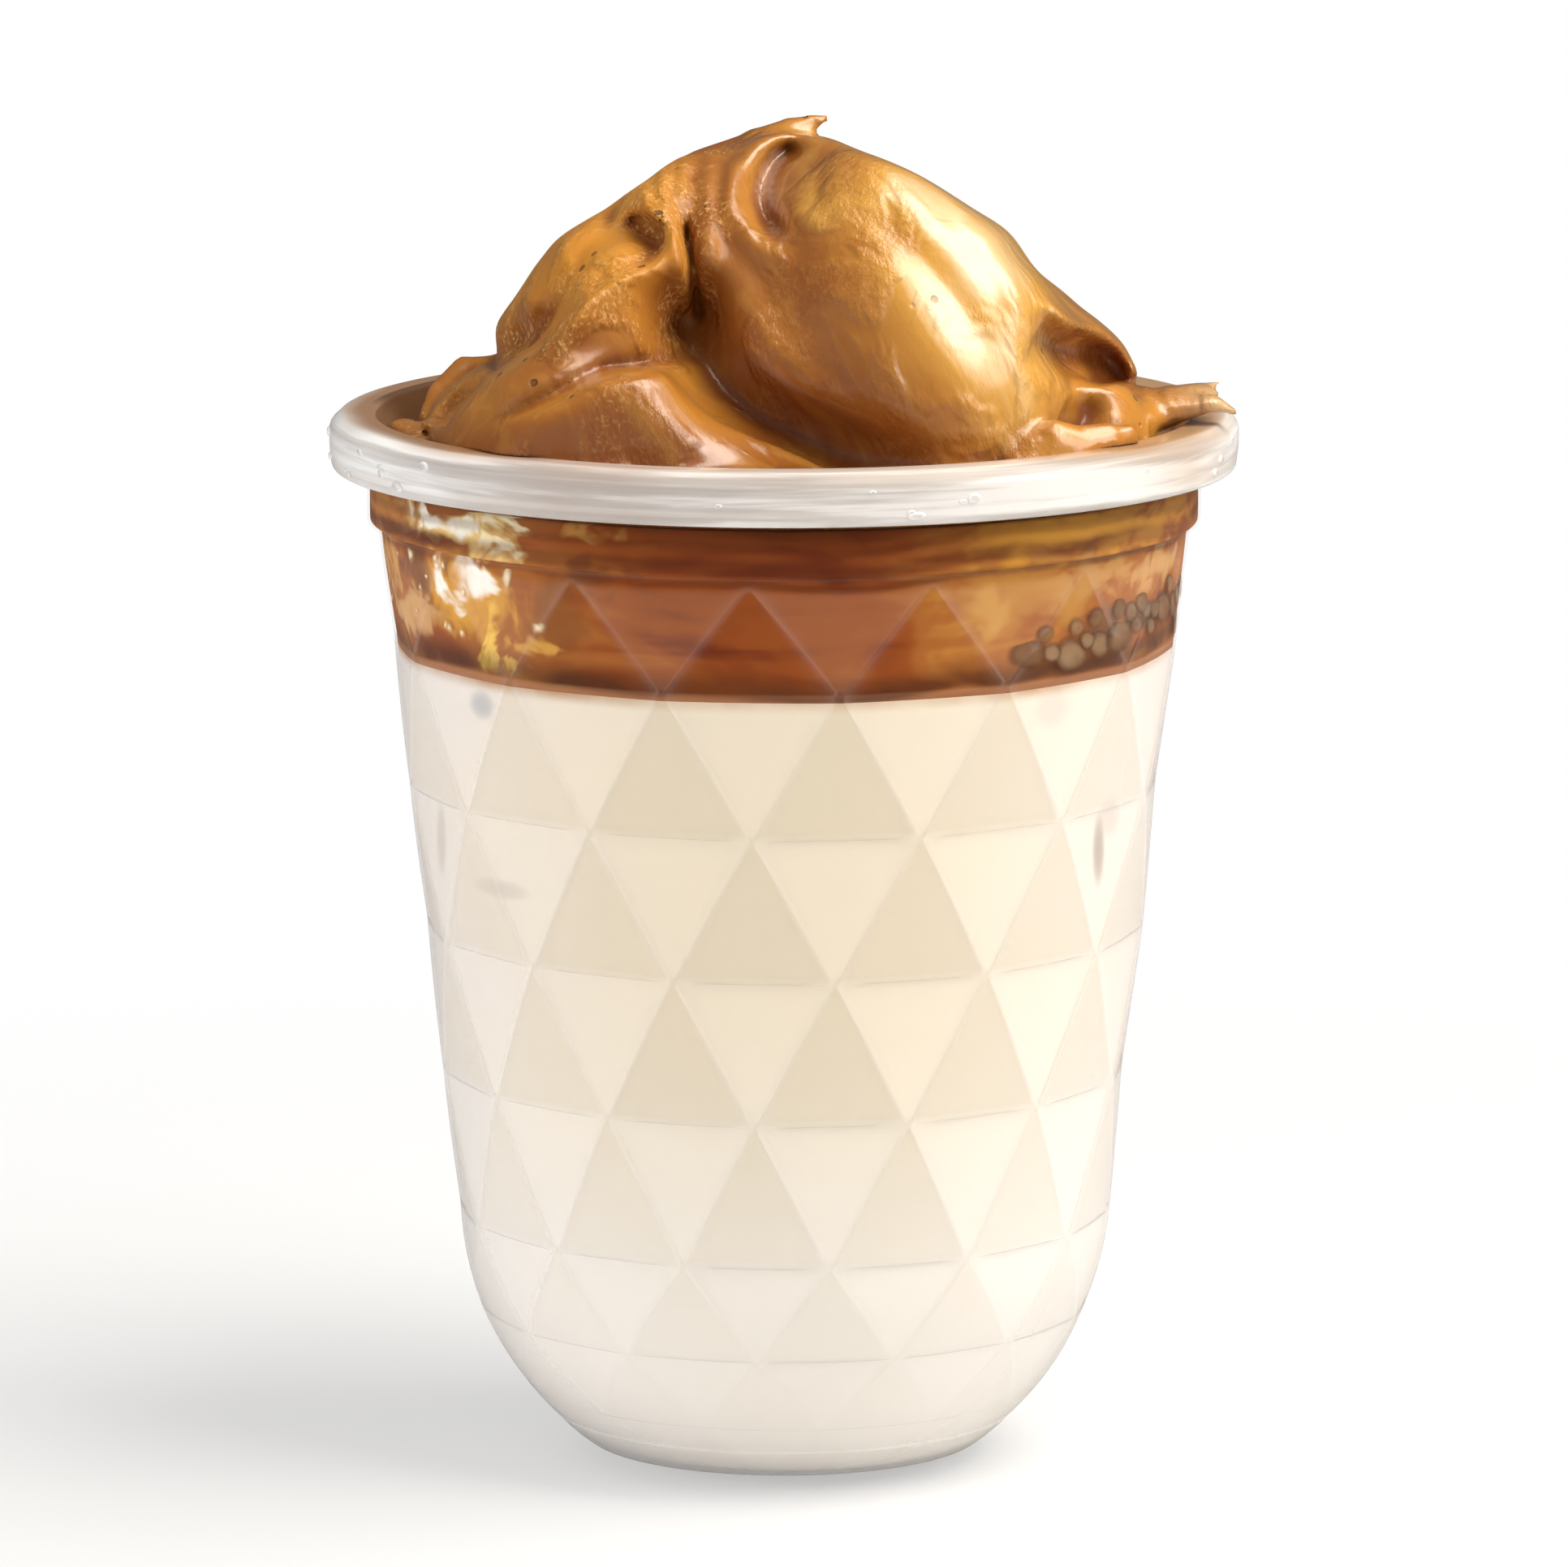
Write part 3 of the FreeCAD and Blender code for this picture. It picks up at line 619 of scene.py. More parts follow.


# ---------------------------------------------------------------- milk and coffee

# Soft, uneven marks in the coffee, among them painted glare and glints at the left: place across and up,
# size, strength and colour
COFFEE_MARKS_AND_GLARE = [
    ((-23.0, 94.6), (5.0, 5.4), 0.60, (0.20, 0.066, 0.016)),
    ((-19.0, 98.6), (4.6, 1.9), 0.70, (0.13, 0.040, 0.012)),
    ((-32.4, 95.6), (5.2, 5.6), 0.85, (0.74, 0.37, 0.05)),
    ((-37.2, 97.0), (2.6, 4.2), 0.85, (0.15, 0.045, 0.012)),
    ((-38.0, 91.8), (4.6, 2.2), 0.85, (0.66, 0.38, 0.16)),
    ((-30.3, 91.0), (1.6, 3.2), 0.95, (0.92, 0.58, 0.10)),
    ((-25.3, 91.2), (2.8, 1.9), 0.85, (0.66, 0.34, 0.07)),
    ((-32.2, 97.0), (2.5, 3.4), 1.00, (1.00, 0.97, 0.90)),
    ((-41.0, 97.0), (1.4, 5.0), 0.80, (0.62, 0.34, 0.10)),
    ((-40.5, 102.4), (2.6, 2.6), 0.80, (0.50, 0.20, 0.035)),
    ((-32.5, 102.9), (7.0, 2.4), 1.00, (0.88, 0.60, 0.22)),
    ((-34.8, 103.2), (3.0, 1.5), 1.00, (1.00, 0.96, 0.84)),
    ((-29.0, 103.4), (3.0, 1.3), 0.95, (1.00, 0.88, 0.60)),
    ((-20.0, 104.4), (4.6, 1.6), 0.70, (0.60, 0.30, 0.07)),
    ((24.0, 96.6), (8.0, 5.2), 0.80, (0.50, 0.24, 0.050)),
    ((22.0, 95.6), (4.0, 3.4), 0.50, (0.62, 0.34, 0.09)),
    ((32.0, 97.6), (6.0, 3.0), 0.70, (0.55, 0.29, 0.08)),
    ((38.4, 97.2), (2.6, 3.0), 0.75, (0.62, 0.36, 0.13)),
    ((30.0, 102.8), (15.0, 3.2), 0.92, (0.66, 0.31, 0.04)),
    ((35.0, 91.8), (8.0, 3.0), 0.80, (0.11, 0.055, 0.028)),
]

# Soft marks in the milk: place across and up, size, strength and colour
MILK_MARKS = [
    ((-31.0, 84.0), (1.6, 1.9), 0.60, (0.30, 0.30, 0.36)),
    ((-29.2, 64.6), (3.6, 1.3), 0.32, (0.40, 0.33, 0.28)),
    ((32.5, 67.9), (0.8, 4.6), 0.70, (0.24, 0.15, 0.09)),
    ((33.6, 71.0), (1.4, 2.6), 0.30, (0.40, 0.28, 0.20)),
    ((27.4, 84.2), (2.4, 2.4), 0.22, (0.40, 0.36, 0.36)),
    ((-35.6, 68.0), (0.7, 5.0), 0.40, (0.36, 0.26, 0.18)),
]


def milk_material(drink):
    """Opaque milk, warm in the middle and painted greyer towards the sides and the bottom as shade."""
    n = Nodes("creamy_milk")
    x, y, z = n.axes()
    # Painted shade: greyer towards the sides and the bottom
    side = n.math("POWER", n.math("ABSOLUTE", n.math("DIVIDE", x, 0.042)), 2.2)
    edge = n.plus(side, n.times(n.ramp(z, 0.048, 0.004), 0.55), clamp=True)
    cloud = n.noise(22.0, 3.0, (1.0, 1.0, 1.6), 0.5, 0.4)
    edge = n.plus(edge, n.ramp(cloud, 0.35, 0.7, -0.12, 0.2), clamp=True)
    paint = n.mix(edge, drink.milk, drink.milk_edge_shade)
    paint = n.mix(n.ramp(z, 0.060, 0.018, 0.0, 0.75), paint, (0.92, 0.89, 0.85))
    # Painted shade: the facets of one set are painted darker, as if turned from the light above
    shaded = n.ramp(n.attribute("facet"), 0.0, 1.0, 0.0, 0.27, "LINEAR")
    shaded = n.times(shaded, n.ramp(z, 0.006, 0.050, 0.10, 1.0))
    paint = n.mix(shaded, paint, (0.57, 0.46, 0.27))
    paint = n.marks(paint, MILK_MARKS, x, z, n.ramp(y, 0.0, -0.004))
    stain = n.ramp(z, MILK_TOP - 0.0014, MILK_TOP)
    stain = n.times(stain, n.ramp(n.noise(120.0, 3.0), 0.3, 0.7, 0.35, 0.9))
    paint = n.mix(stain, paint, (0.50, 0.24, 0.08))
    return n.end(n.principled(Base_Color=paint, Roughness=0.45, IOR=1.35))


def coffee_material(drink, form):
    """Amber coffee: reddish in the middle, golden where light comes through at the sides."""
    n = Nodes("amber_coffee")
    x, y, z = n.axes()
    across = n.plus(x, n.ramp(n.noise(32.0, 2.0), 0.2, 0.8, -0.006, 0.006, "LINEAR"))
    wave = n.ramp(n.noise(40.0, 3.0, (1.0, 1.0, 0.4)), 0.2, 0.8, -0.0013, 0.0013, "LINEAR")
    height = n.plus(z, wave)
    left = n.ramp(across, -0.012, -0.030)
    right = n.ramp(across, 0.006, 0.022)
    patches = n.noise(60.0, 3.0, (1.0, 1.0, 2.0), 0.5, 1.0)
    layers = n.noise(80.0, 3.0, (0.6, 0.6, 4.0), 0.55, 0.6)
    gold = n.plus(n.times(left, 0.30), n.times(right, 0.36))
    gold = n.plus(gold, n.ramp(patches, 0.3, 0.7, 0.02, 0.42, "LINEAR"))
    gold = n.plus(gold, n.ramp(layers, 0.3, 0.7, -0.12, 0.16, "LINEAR"), clamp=True)
    paint = n.colours(gold, [(0.0, drink.coffee_dark), (0.34, drink.coffee_mid), (0.62, (0.37, 0.12, 0.024)),
                             (0.86, drink.coffee_gold), (1.0, (0.72, 0.43, 0.13))])

    # Darker above the step, less so at the sides
    step = form.step * MM
    sides = n.plus(n.times(left, 0.38), n.times(right, 0.36))
    in_band = n.times(n.ramp(z, step + 0.0001, step + 0.0007), n.minus(0.28, sides, clamp=True))
    paint = n.mix(in_band, paint, (0.13, 0.020, 0.006))

    # Light and dark shapes behind the front wall, with uneven outlines; the light ones are painted glare,
    # glints and lit gold
    warp_x = n.ramp(n.noise(150.0, 3.0, (1.0, 1.0, 0.8), 0.6, 0.8), 0.3, 0.7, -0.0026, 0.0026, "LINEAR")
    warp_z = n.ramp(n.noise(170.0, 3.0, (0.7, 1.0, 1.3), 0.6, 0.5), 0.3, 0.7, -0.0022, 0.0022, "LINEAR")
    paint = n.marks(paint, COFFEE_MARKS_AND_GLARE, n.plus(x, warp_x), n.plus(z, warp_z), n.ramp(y, 0.002, -0.004))

    # Dark just above the milk, amber where the two meet, dark lines at the step
    low_dark = n.ramp(height, MILK_TOP + 0.0042, MILK_TOP + 0.0014)
    paint = n.mix(n.times(low_dark, n.ramp(patches, 0.3, 0.6, 1.0, 0.6)), paint, (0.062, 0.018, 0.006))
    amber = n.ramp(height, MILK_TOP + 0.0010, MILK_TOP + 0.0001)
    paint = n.mix(n.times(amber, 0.8), paint, (0.40, 0.15, 0.05))
    for above, thick, depth in ((0.0015, 0.0009, 0.85), (-0.0003, 0.0005, 0.6), (0.0037, 0.0005, 0.4)):
        away = n.math("ABSOLUTE", n.minus(height, step + above))
        line = n.ramp(away, thick * 1.5, thick * 0.3)
        paint = n.mix(n.times(line, n.ramp(layers, 0.3, 0.6, depth, depth * 0.6)), paint,
                      (0.085, 0.014, 0.005))

    # The facets that face down are painted paler, a painted reflection of the light from above
    down = n.ramp(n.attribute("facet"), 0.45, 0.0, 0.0, 0.085, "LINEAR")
    paint = n.mix(n.times(down, n.ramp(z, step - 0.0009, step - 0.0019)), paint, (0.90, 0.54, 0.36))
    return n.end(n.principled(Base_Color=paint, Roughness=0.35, IOR=1.05))


class DALGONA_OT_milk(bpy.types.Operator):
    """Fill the cup with milk"""
    bl_idname = "dalgona.milk"
    bl_label = "Milk"

    def execute(self, context):
        form = CupForm(context.scene.dalgona_cup)
        drink = context.scene.dalgona_drink
        inset = form.wall - drink.reach / MM
        rows = form.faceted_rows(0.0, MILK_LEVEL, inset)
        piece = closed_piece("milk_fill", rows, inset, MILK_LEVEL, milk_material(drink), "facet")
        finish_piece(piece, "milk", "milk")
        return {"FINISHED"}


class DALGONA_OT_coffee(bpy.types.Operator):
    """Pour the coffee layer onto the milk"""
    bl_idname = "dalgona.coffee"
    bl_label = "Coffee layer"

    def execute(self, context):
        form = CupForm(context.scene.dalgona_cup)
        drink = context.scene.dalgona_drink
        inset = form.wall - drink.reach / MM
        rows = form.faceted_rows(MILK_LEVEL, FACET_RINGS[-1], inset)
        mouth = form.band - inset
        ledge = form.step + inset
        path = rounded([(form.radius(ledge) - inset, ledge - 0.6), (form.radius(ledge) - inset, ledge),
                        (mouth, ledge), (mouth, COFFEE_LEVEL)], 0.3, 3)
        rows += [form.plain_row(radius, height) for radius, height in path]
        piece = closed_piece("coffee_fill", rows, MILK_LEVEL, COFFEE_LEVEL, coffee_material(drink, form),
                             "facet")
        finish_piece(piece, "coffee", "coffee_layer")
        return {"FINISHED"}


# ---------------------------------------------------------------- bubbles, glints and drops

CAP_RINGS = 7
CAP_STEPS = 22


def cap(rng, centre, out, half_wide, half_high, bulge, wobble):
    """A shallow cap lying on a face: points, faces and each point's share of the way out."""
    across = UP.cross(out).normalized()
    first, second = rng.uniform(0, math.tau), rng.uniform(0, math.tau)
    points, outward, faces = [centre + out * bulge], [0.0], []
    for ring in range(1, CAP_RINGS + 1):
        part = ring / CAP_RINGS
        for step in range(CAP_STEPS):
            turn = math.tau * step / CAP_STEPS
            uneven = 1 + wobble * (math.sin(2 * turn + first) + 0.6 * math.sin(3 * turn + second))
            place = across * math.cos(turn) * half_wide + UP * math.sin(turn) * half_high
            points.append(centre + place * part * uneven + out * bulge * math.sqrt(max(1 - part * part, 0.0)))
            outward.append(part)
    for step in range(CAP_STEPS):
        after = (step + 1) % CAP_STEPS
        faces.append((0, 1 + step, 1 + after))
        for ring in range(CAP_RINGS - 1):
            a, b = 1 + ring * CAP_STEPS, 1 + (ring + 1) * CAP_STEPS
            faces.append((a + step, b + step, b + after, a + after))
    return points, faces, outward


def join_caps(name, caps, material):
    """One mesh of many caps, with the share of the way out as an attribute."""
    points, faces, outward = [], [], []
    for cap_points, cap_faces, cap_outward in caps:
        start = len(points)
        points += [tuple(point) for point in cap_points]
        faces += [tuple(start + corner for corner in face) for face in cap_faces]
        outward += cap_outward
    piece = make_object(name, points, faces, material)
    add_attribute(piece, "outward", outward)
    return piece


def around_axis(turn, radius, height):
    """Place at a turn from the front, and the way out from the axis there."""
    out = Vector((math.sin(turn), -math.cos(turn), 0.0))
    return Vector((radius * out.x, radius * out.y, height)), out


def bubble_material():
    """Soft brown bubbles, greyer in the middle and dark where they meet."""
    n = Nodes("coffee_bubbles")
    outward = n.attribute("outward")
    tone = n.noise(180.0, 2.0)
    middle = n.mix(n.ramp(tone, 0.3, 0.7), (0.20, 0.10, 0.045), (0.40, 0.26, 0.15))
    paint = n.mix(n.ramp(outward, 0.35, 0.95), middle, (0.085, 0.030, 0.012))
    fade = n.ramp(outward, 1.0, 0.6, 0.0, 0.6)
    return n.end(n.principled(Base_Color=paint, Roughness=0.3, IOR=1.3, Alpha=fade))


def glint_material():
    """Painted glints: bright, soft-edged light caught in ice behind the wall."""
    n = Nodes("ice_glints")
    outward = n.attribute("outward")
    uneven = n.ramp(n.noise(260.0, 3.0, (1.0, 1.0, 1.0), 0.6, 1.5), 0.3, 0.7, -0.30, 0.30, "LINEAR")
    fade = n.ramp(n.plus(outward, uneven), 1.0, 0.0)
    paint = n.mix(fade, (0.80, 0.42, 0.12), (1.0, 0.86, 0.60))
    return n.end(n.principled(Base_Color=paint, Roughness=0.2, IOR=1.33, Alpha=n.times(fade, 0.85)))


def drop_material():
    """Clear, glossy drops of water."""
    n = Nodes("water_drops")
    fade = n.ramp(n.attribute("outward"), 0.3, 0.95, 0.30, 0.75)
    tone = n.noise(500.0, 2.0)
    paint = n.mix(tone, (0.90, 0.89, 0.88), (1.0, 1.0, 1.0))
    shader = n.principled(Base_Color=paint, Roughness=0.06, IOR=1.33, Alpha=fade,
                          Coat_Weight=1.0, Coat_Roughness=0.03)
    return n.end(shader)


class DALGONA_OT_bubbles(bpy.types.Operator):
    """Cluster bubbles against the wall at the right"""
    bl_idname = "dalgona.bubbles"
    bl_label = "Bubbles"

    def execute(self, context):
        form = CupForm(context.scene.dalgona_cup)
        drink = context.scene.dalgona_drink
        inset = form.wall - drink.reach / MM + 0.02
        rng = random.Random(BUBBLE_SEED)
        caps, placed = [], []
        for _ in range(500):
            turn = math.radians(rng.uniform(37, 84))
            middle = 89.8 + 2.8 * (turn - math.radians(35)) / math.radians(45)
            height = middle + rng.gauss(0.2, 0.9)
            wide = rng.choice((1.6, 2.4, 3.2, 3.8)) * rng.uniform(0.9, 1.15)
            if height - wide * 0.7 < MILK_LEVEL + 0.7:
                continue
            along = turn * form.radius(height)
            if any(math.hypot(along - a, height - b) < (wide + c) * 0.55 for a, b, c in placed):
                continue
            placed.append((along, height, wide))
            place, out = around_axis(turn, form.radius(height) - inset, height)
            caps.append(cap(rng, place, out, wide, wide * rng.uniform(0.66, 0.85), 0.2, 0.06))
        piece = join_caps("coffee_bubbles", caps, bubble_material())
        finish_piece(piece, "coffee")
        return {"FINISHED"}


class DALGONA_OT_glints(bpy.types.Operator):
    """Set painted glints of light caught in ice behind the wall at the left"""
    bl_idname = "dalgona.glints"
    bl_label = "Ice glints"

    def execute(self, context):
        form = CupForm(context.scene.dalgona_cup)
        drink = context.scene.dalgona_drink
        inset = form.wall - drink.reach / MM - 0.04
        rng = random.Random(GLINT_SEED)
        caps = []
        # Turn from the front in degrees, height, half width, half height
        glints = [(-66, 98.4, 1.1, 0.9), (-58, 98.8, 0.8, 0.7), (-37, 93.2, 1.0, 0.9), (-42, 98.0, 0.9, 2.4)]
        for size in (0.4, 0.6, 0.8) * 4:
            glints.append((rng.uniform(-80, -50), rng.uniform(90.5, 98.6), size, size))
        for degrees, height, wide, high in glints:
            place, out = around_axis(math.radians(degrees), form.radius(height) - inset, height)
            caps.append(cap(rng, place, out, wide, high, 0.12, 0.14))
        piece = join_caps("ice_glints", caps, glint_material())
        finish_piece(piece, "coffee")
        return {"FINISHED"}


class DALGONA_OT_drops(bpy.types.Operator):
    """Leave a few drops of water on the rim"""
    bl_idname = "dalgona.drops"
    bl_label = "Rim drops"

    def execute(self, context):
        cup = context.scene.dalgona_cup
        rng = random.Random(DROP_SEED)
        caps = []
        for _ in range(30):
            turn = math.radians(rng.uniform(-180, 180))
            height = CUP_TOP - rng.uniform(1.5, cup.rim_depth / MM - 0.8)
            wide = rng.uniform(0.2, 0.75)
            place, out = around_axis(turn, RIM_RADIUS - 0.06, height)
            half_wide = wide * rng.uniform(1.0, 1.8)
            caps.append(cap(rng, place, out, half_wide, wide * 0.8, 0.10 + wide * 0.35, 0.06))
        piece = join_caps("rim_drops", caps, drop_material())
        finish_piece(piece, "cup_plastic")
        return {"FINISHED"}


# ---------------------------------------------------------------- the heap's shape

# Outline of the heap from the front: x and height in millimetres
HEAP_OUTLINE = [(-43.0, 104.0), (-40.0, 108.0), (-36.0, 113.0), (-31.5, 117.0), (-30.0, 120.4),
                (-28.2, 123.4), (-25.4, 127.2), (-23.0, 129.6), (-18.6, 132.2), (-14.6, 134.8),
                (-10.6, 137.6), (-6.0, 139.0), (0.0, 140.0), (4.0, 139.6), (8.0, 138.0), (14.2, 135.4),
                (19.8, 132.0), (23.8, 129.4), (26.6, 126.0), (30.8, 122.6), (35.0, 118.6),
                (37.2, 114.6), (40.0, 110.5), (43.0, 106.0)]
HEAP_FOOT = 103.5            # level that the heap's round form is measured from
HEAP_HALF_DEPTH = 38.0       # from the axis to the front and the back
HEAP_SPAN = ((-45.5, 49.5), (-46.0, 46.0), (COFFEE_LEVEL - 1.5, 143.5))     # box of the grid
VIEW_TILT = 0.15             # the folds are laid out as seen from slightly above

# Big lobes: centre, way that the long side points, half long side and the two other half sides
HEAP_LOBES = [
    (1.6, (12.6, -14.5, 119.6), (0.44, -0.48, -0.76), (22.0, 16.6, 16.5)),     # main lobe
    (2.5, (4.6, -5.0, 130.6), (0.35, -0.30, -0.88), (11.0, 9.0, 9.0)),         # its top
    (2.0, (-19.5, -10.0, 120.0), (-0.35, -0.50, -0.80), (12.0, 8.6, 9.5)),     # left lobe
    (2.0, (-11.0, -4.0, 127.6), (0.10, -0.55, -0.80), (10.0, 6.5, 7.0)),       # ropes
    (1.6, (-20.5, -19.0, 118.0), (-0.76, -0.24, -0.58), (17.5, 6.8, 7.5)),     # ribbon's slope
    (1.2, (-17.5, -27.6, 110.6), (1.0, -0.1, 0.08), (14.5, 8.3, 6.4)),         # low lobe at the rim
    (2.0, (-2.0, -28.6, 107.6), (1.0, 0.0, -0.1), (13.0, 10.5, 6.4)),          # floor of the valley
    (1.6, (25.5, -5.0, 116.0), (0.45, 0.0, -0.88), (12.0, 8.5, 15.0)),         # right lobe
    (1.2, (30.0, -17.0, 110.2), (1.0, 0.5, 0.0), (9.0, 7.5, 5.0)),             # low right lobe
    (1.6, (-29.5, 1.0, 111.0), (0.0, 1.0, 0.0), (13.0, 6.0, 6.0)),             # left lump
    (2.5, (-9.0, 13.0, 121.0), (-0.3, 0.6, -0.7), (19.0, 13.0, 12.0)),         # back
    (2.5, (14.0, 15.0, 117.0), (0.2, 0.6, -0.7), (18.0, 12.0, 12.5)),
    (2.0, (1.0, 29.0, 109.5), (1.0, 0.0, 0.0), (19.0, 9.0, 7.0)),
]


def lobe_distance(x, y, z, centre, long_side, halves):
    """Distance-like field of an egg-shaped lobe."""
    long_side = Vector(long_side).normalized()
    level = Vector((0.0, 1.0, 0.0) if abs(long_side.y) < 0.9 else (0.0, 0.0, 1.0))
    across = long_side.cross(level).normalized()
    px, py, pz = x - centre[0], y - centre[1], z - centre[2]
    scaled, steep = 0.0, 0.0
    for axis, half in zip((long_side, across, long_side.cross(across)), halves):
        part = (px * axis.x + py * axis.y + pz * axis.z) / half
        scaled = scaled + part * part
        steep = steep + (part / half) ** 2
    scaled = np.sqrt(scaled)
    return scaled * (scaled - 1) / np.maximum(np.sqrt(steep), 0.02)


def smooth_curve(points, count):
    """Catmull-Rom curve through the points."""
    p = np.asarray(points, float)
    p = np.vstack([2 * p[0] - p[1], p, 2 * p[-1] - p[-2]])
    spans = len(p) - 3
    t = np.linspace(0, spans, count)
    i = np.minimum(t.astype(int), spans - 1)
    u = (t - i)[:, None]
    a, b, c, d = p[i], p[i + 1], p[i + 2], p[i + 3]
    return 0.5 * (2 * b + (c - a) * u + (2 * a - 5 * b + 4 * c - d) * u ** 2
                  + (3 * b - a - 3 * c + d) * u ** 3)


def side_distance(gx, gz, curve):
    """Distance of every grid point from a curve, positive on its left, and place along it."""
    best = np.full(gx.shape, 1e9)
    side = np.zeros(gx.shape)
    along = np.zeros(gx.shape)
    legs = np.diff(curve, axis=0)
    lengths = np.hypot(legs[:, 0], legs[:, 1])
    run = np.concatenate([[0], np.cumsum(lengths)])
    for k, (dx, dz) in enumerate(legs):
        px, pz = gx - curve[k, 0], gz - curve[k, 1]
        t = np.clip((px * dx + pz * dz) / (dx * dx + dz * dz), 0, 1)
        ex, ez = px - t * dx, pz - t * dz
        gap = np.hypot(ex, ez)
        near = gap < best
        best = np.where(near, gap, best)
        side = np.where(near, np.sign(dx * ez - dz * ex), side)
        along = np.where(near, (run[k] + t * lengths[k]) / run[-1], along)
    return best * side, along


def rise(value, start, over):
    """From 0 at the start to 1, over a length; a length below zero goes the other way."""
    return np.clip((value - start) / over, 0, 1)


def smooth(part):
    return part * part * (3 - 2 * part)


def fade_ends(along, start, end):
    return smooth(rise(along, 0, start)) * smooth(rise(along, 1, -end))


def crest(s, width):
    return np.exp(-(s / width) ** 2)


def bank(s, soft, spread):
    """A bank that rises on the left of its line and sinks slowly back."""
    return np.exp(-np.maximum(s, 0) / spread) / (1 + np.exp(-np.clip(s / soft, -30, 30)))


RIBBON = [(-18.6, 130.0), (-15.2, 131.9), (-12.4, 130.4), (-11.6, 128.0), (-13.2, 125.4), (-16.8, 123.9),
          (-19.6, 121.8), (-22.0, 119.0), (-24.6, 116.6), (-27.6, 114.5), (-31.2, 112.4), (-34.6, 109.6),
          (-37.0, 106.6)]
RIBBON_FOOT = [(-7.0, 116.2), (-11.4, 115.4), (-14.8, 114.9), (-19.0, 113.9), (-23.2, 111.6),
               (-27.0, 109.9), (-30.5, 108.8), (-34.0, 107.2)]

# Lines as x and height, then along each one crests (or creases, below zero):
# height, shift to the right, half width, fade at the start and at the end
HEAP_FOLDS = [
    # Deep valley at the left of the main lobe
    ([(-8.6, 126.5), (-7.4, 120.8), (-5.4, 116.4), (-1.4, 112.4), (4.2, 109.2), (10.6, 106.6), (18.0, 104.4)],
     [(-8.5, 2.6, 3.5, 0.18, 0.4), (-1.6, -0.4, 1.4, 0.1, 0.5)]),
    # Narrow slit above the valley
    ([(-10.4, 131.5), (-9.6, 127.0), (-9.0, 122.7), (-8.6, 119.6)],
     [(-2.8, 0.0, 0.5, 0.25, 0.15), (0.9, 1.4, 0.6, 0.25, 0.3)]),
    # Hooked groove under the peak and the rolled edge around it
    ([(2.6, 139.0), (-0.8, 136.9), (-2.4, 133.2), (-1.0, 129.8), (2.2, 128.6)],
     [(-2.0, 0.0, 1.2, 0.15, 0.3), (1.3, 2.6, 1.5, 0.1, 0.3)]),
    # Hollow above the ribbon's lower part, and the crease under its slope
    (RIBBON[5:], [(-1.8, 2.8, 1.8, 0.35, 0.05)]),
    (RIBBON_FOOT, [(-1.8, 0.5, 1.0, 0.2, 0.2)]),
    # Crease between the left lobes
    ([(-22.8, 128.6), (-24.8, 125.6), (-26.6, 122.8), (-27.8, 119.8)], [(-0.8, 0.0, 1.0, 0.3, 0.3)]),
    # Fold at the left rim
    ([(-30.2, 115.6), (-34.0, 113.6), (-36.2, 111.4), (-37.6, 108.4)],
     [(2.2, 0.0, 1.2, 0.1, 0.1), (-2.6, 3.0, 1.6, 0.1, 0.2), (-1.8, -2.5, 1.1, 0.2, 0.2)]),
    # Curl at the right with the hollow that it folds over
    ([(24.5, 122.0), (27.0, 121.4), (29.4, 119.8), (32.4, 119.2), (34.8, 117.7), (36.2, 115.8),
      (36.6, 113.6)],
     [(1.8, 0.0, 0.9, 0.3, 0.1), (-2.5, 3.4, 2.3, 0.35, 0.05)]),
    ([(26.0, 104.6), (27.2, 107.8), (28.9, 110.8), (29.8, 113.8)], [(-2.0, 2.2, 1.8, 0.05, 0.3)]),
]

# Banks: line, height, softness of the rise, length of the slope, fade at the start and at the end
HEAP_BANKS = [
    ([(4.0, 140.5), (7.2, 133.5), (10.4, 128.8), (13.6, 124.4), (18.0, 118.5)], 1.3, 1.6, 9.0, 0.1, 0.4),
    (RIBBON_FOOT, 3.4, 0.5, 7.0, 0.2, 0.2),
]

# Round swellings (or dents, below zero): height of the swelling, x, height, half width, half height
HEAP_SWELLINGS = [
    (1.8, -17.0, 127.4, 3.8, 3.0),
    (1.6, -21.0, 124.5, 5.5, 5.5),
    (1.4, -15.5, 135.0, 4.5, 4.0),
    (-1.0, -25.8, 118.8, 2.0, 2.8),
]

# Thin ropes and creases: points, height and width
HEAP_ROPES = [
    ([(-14.6, 135.4), (-14.0, 132.0), (-12.0, 129.2)], 0.9, 0.8),
    ([(-12.2, 137.4), (-12.4, 133.5), (-11.2, 129.4)], 1.0, 0.8),
    ([(-9.9, 138.2), (-10.6, 134.6), (-10.3, 131.2)], 0.8, 0.7),
    ([(-7.2, 139.0), (-7.8, 134.0), (-7.5, 128.5), (-7.9, 123.5)], 1.0, 0.9),
    ([(-5.0, 138.4), (-5.8, 133.0), (-6.0, 127.5)], 0.7, 0.8),
    ([(-18.8, 133.0), (-19.6, 130.4), (-22.4, 127.8), (-24.0, 124.0)], 1.0, 1.1),
    ([(-16.8, 134.4), (-17.4, 132.2), (-19.4, 129.6)], -0.9, 0.7),
    ([(-27.4, 123.4), (-25.8, 121.0), (-26.2, 117.6)], 0.9, 1.0),
    ([(-22.0, 124.8), (-20.2, 123.0), (-21.6, 119.6), (-24.2, 117.6)], 0.8, 1.2),
    ([(18.4, 131.0), (21.6, 127.4), (23.8, 122.6), (24.6, 117.0)], 0.8, 1.6),
    ([(6.0, 134.6), (10.6, 129.6), (15.4, 124.6), (19.6, 118.2), (21.0, 112.0)], -0.9, 2.2),
    ([(11.0, 137.0), (15.6, 132.8), (18.8, 127.6)], -0.5, 1.2),
    ([(25.4, 127.0), (28.6, 123.6), (33.0, 120.6)], -0.8, 0.8),
]

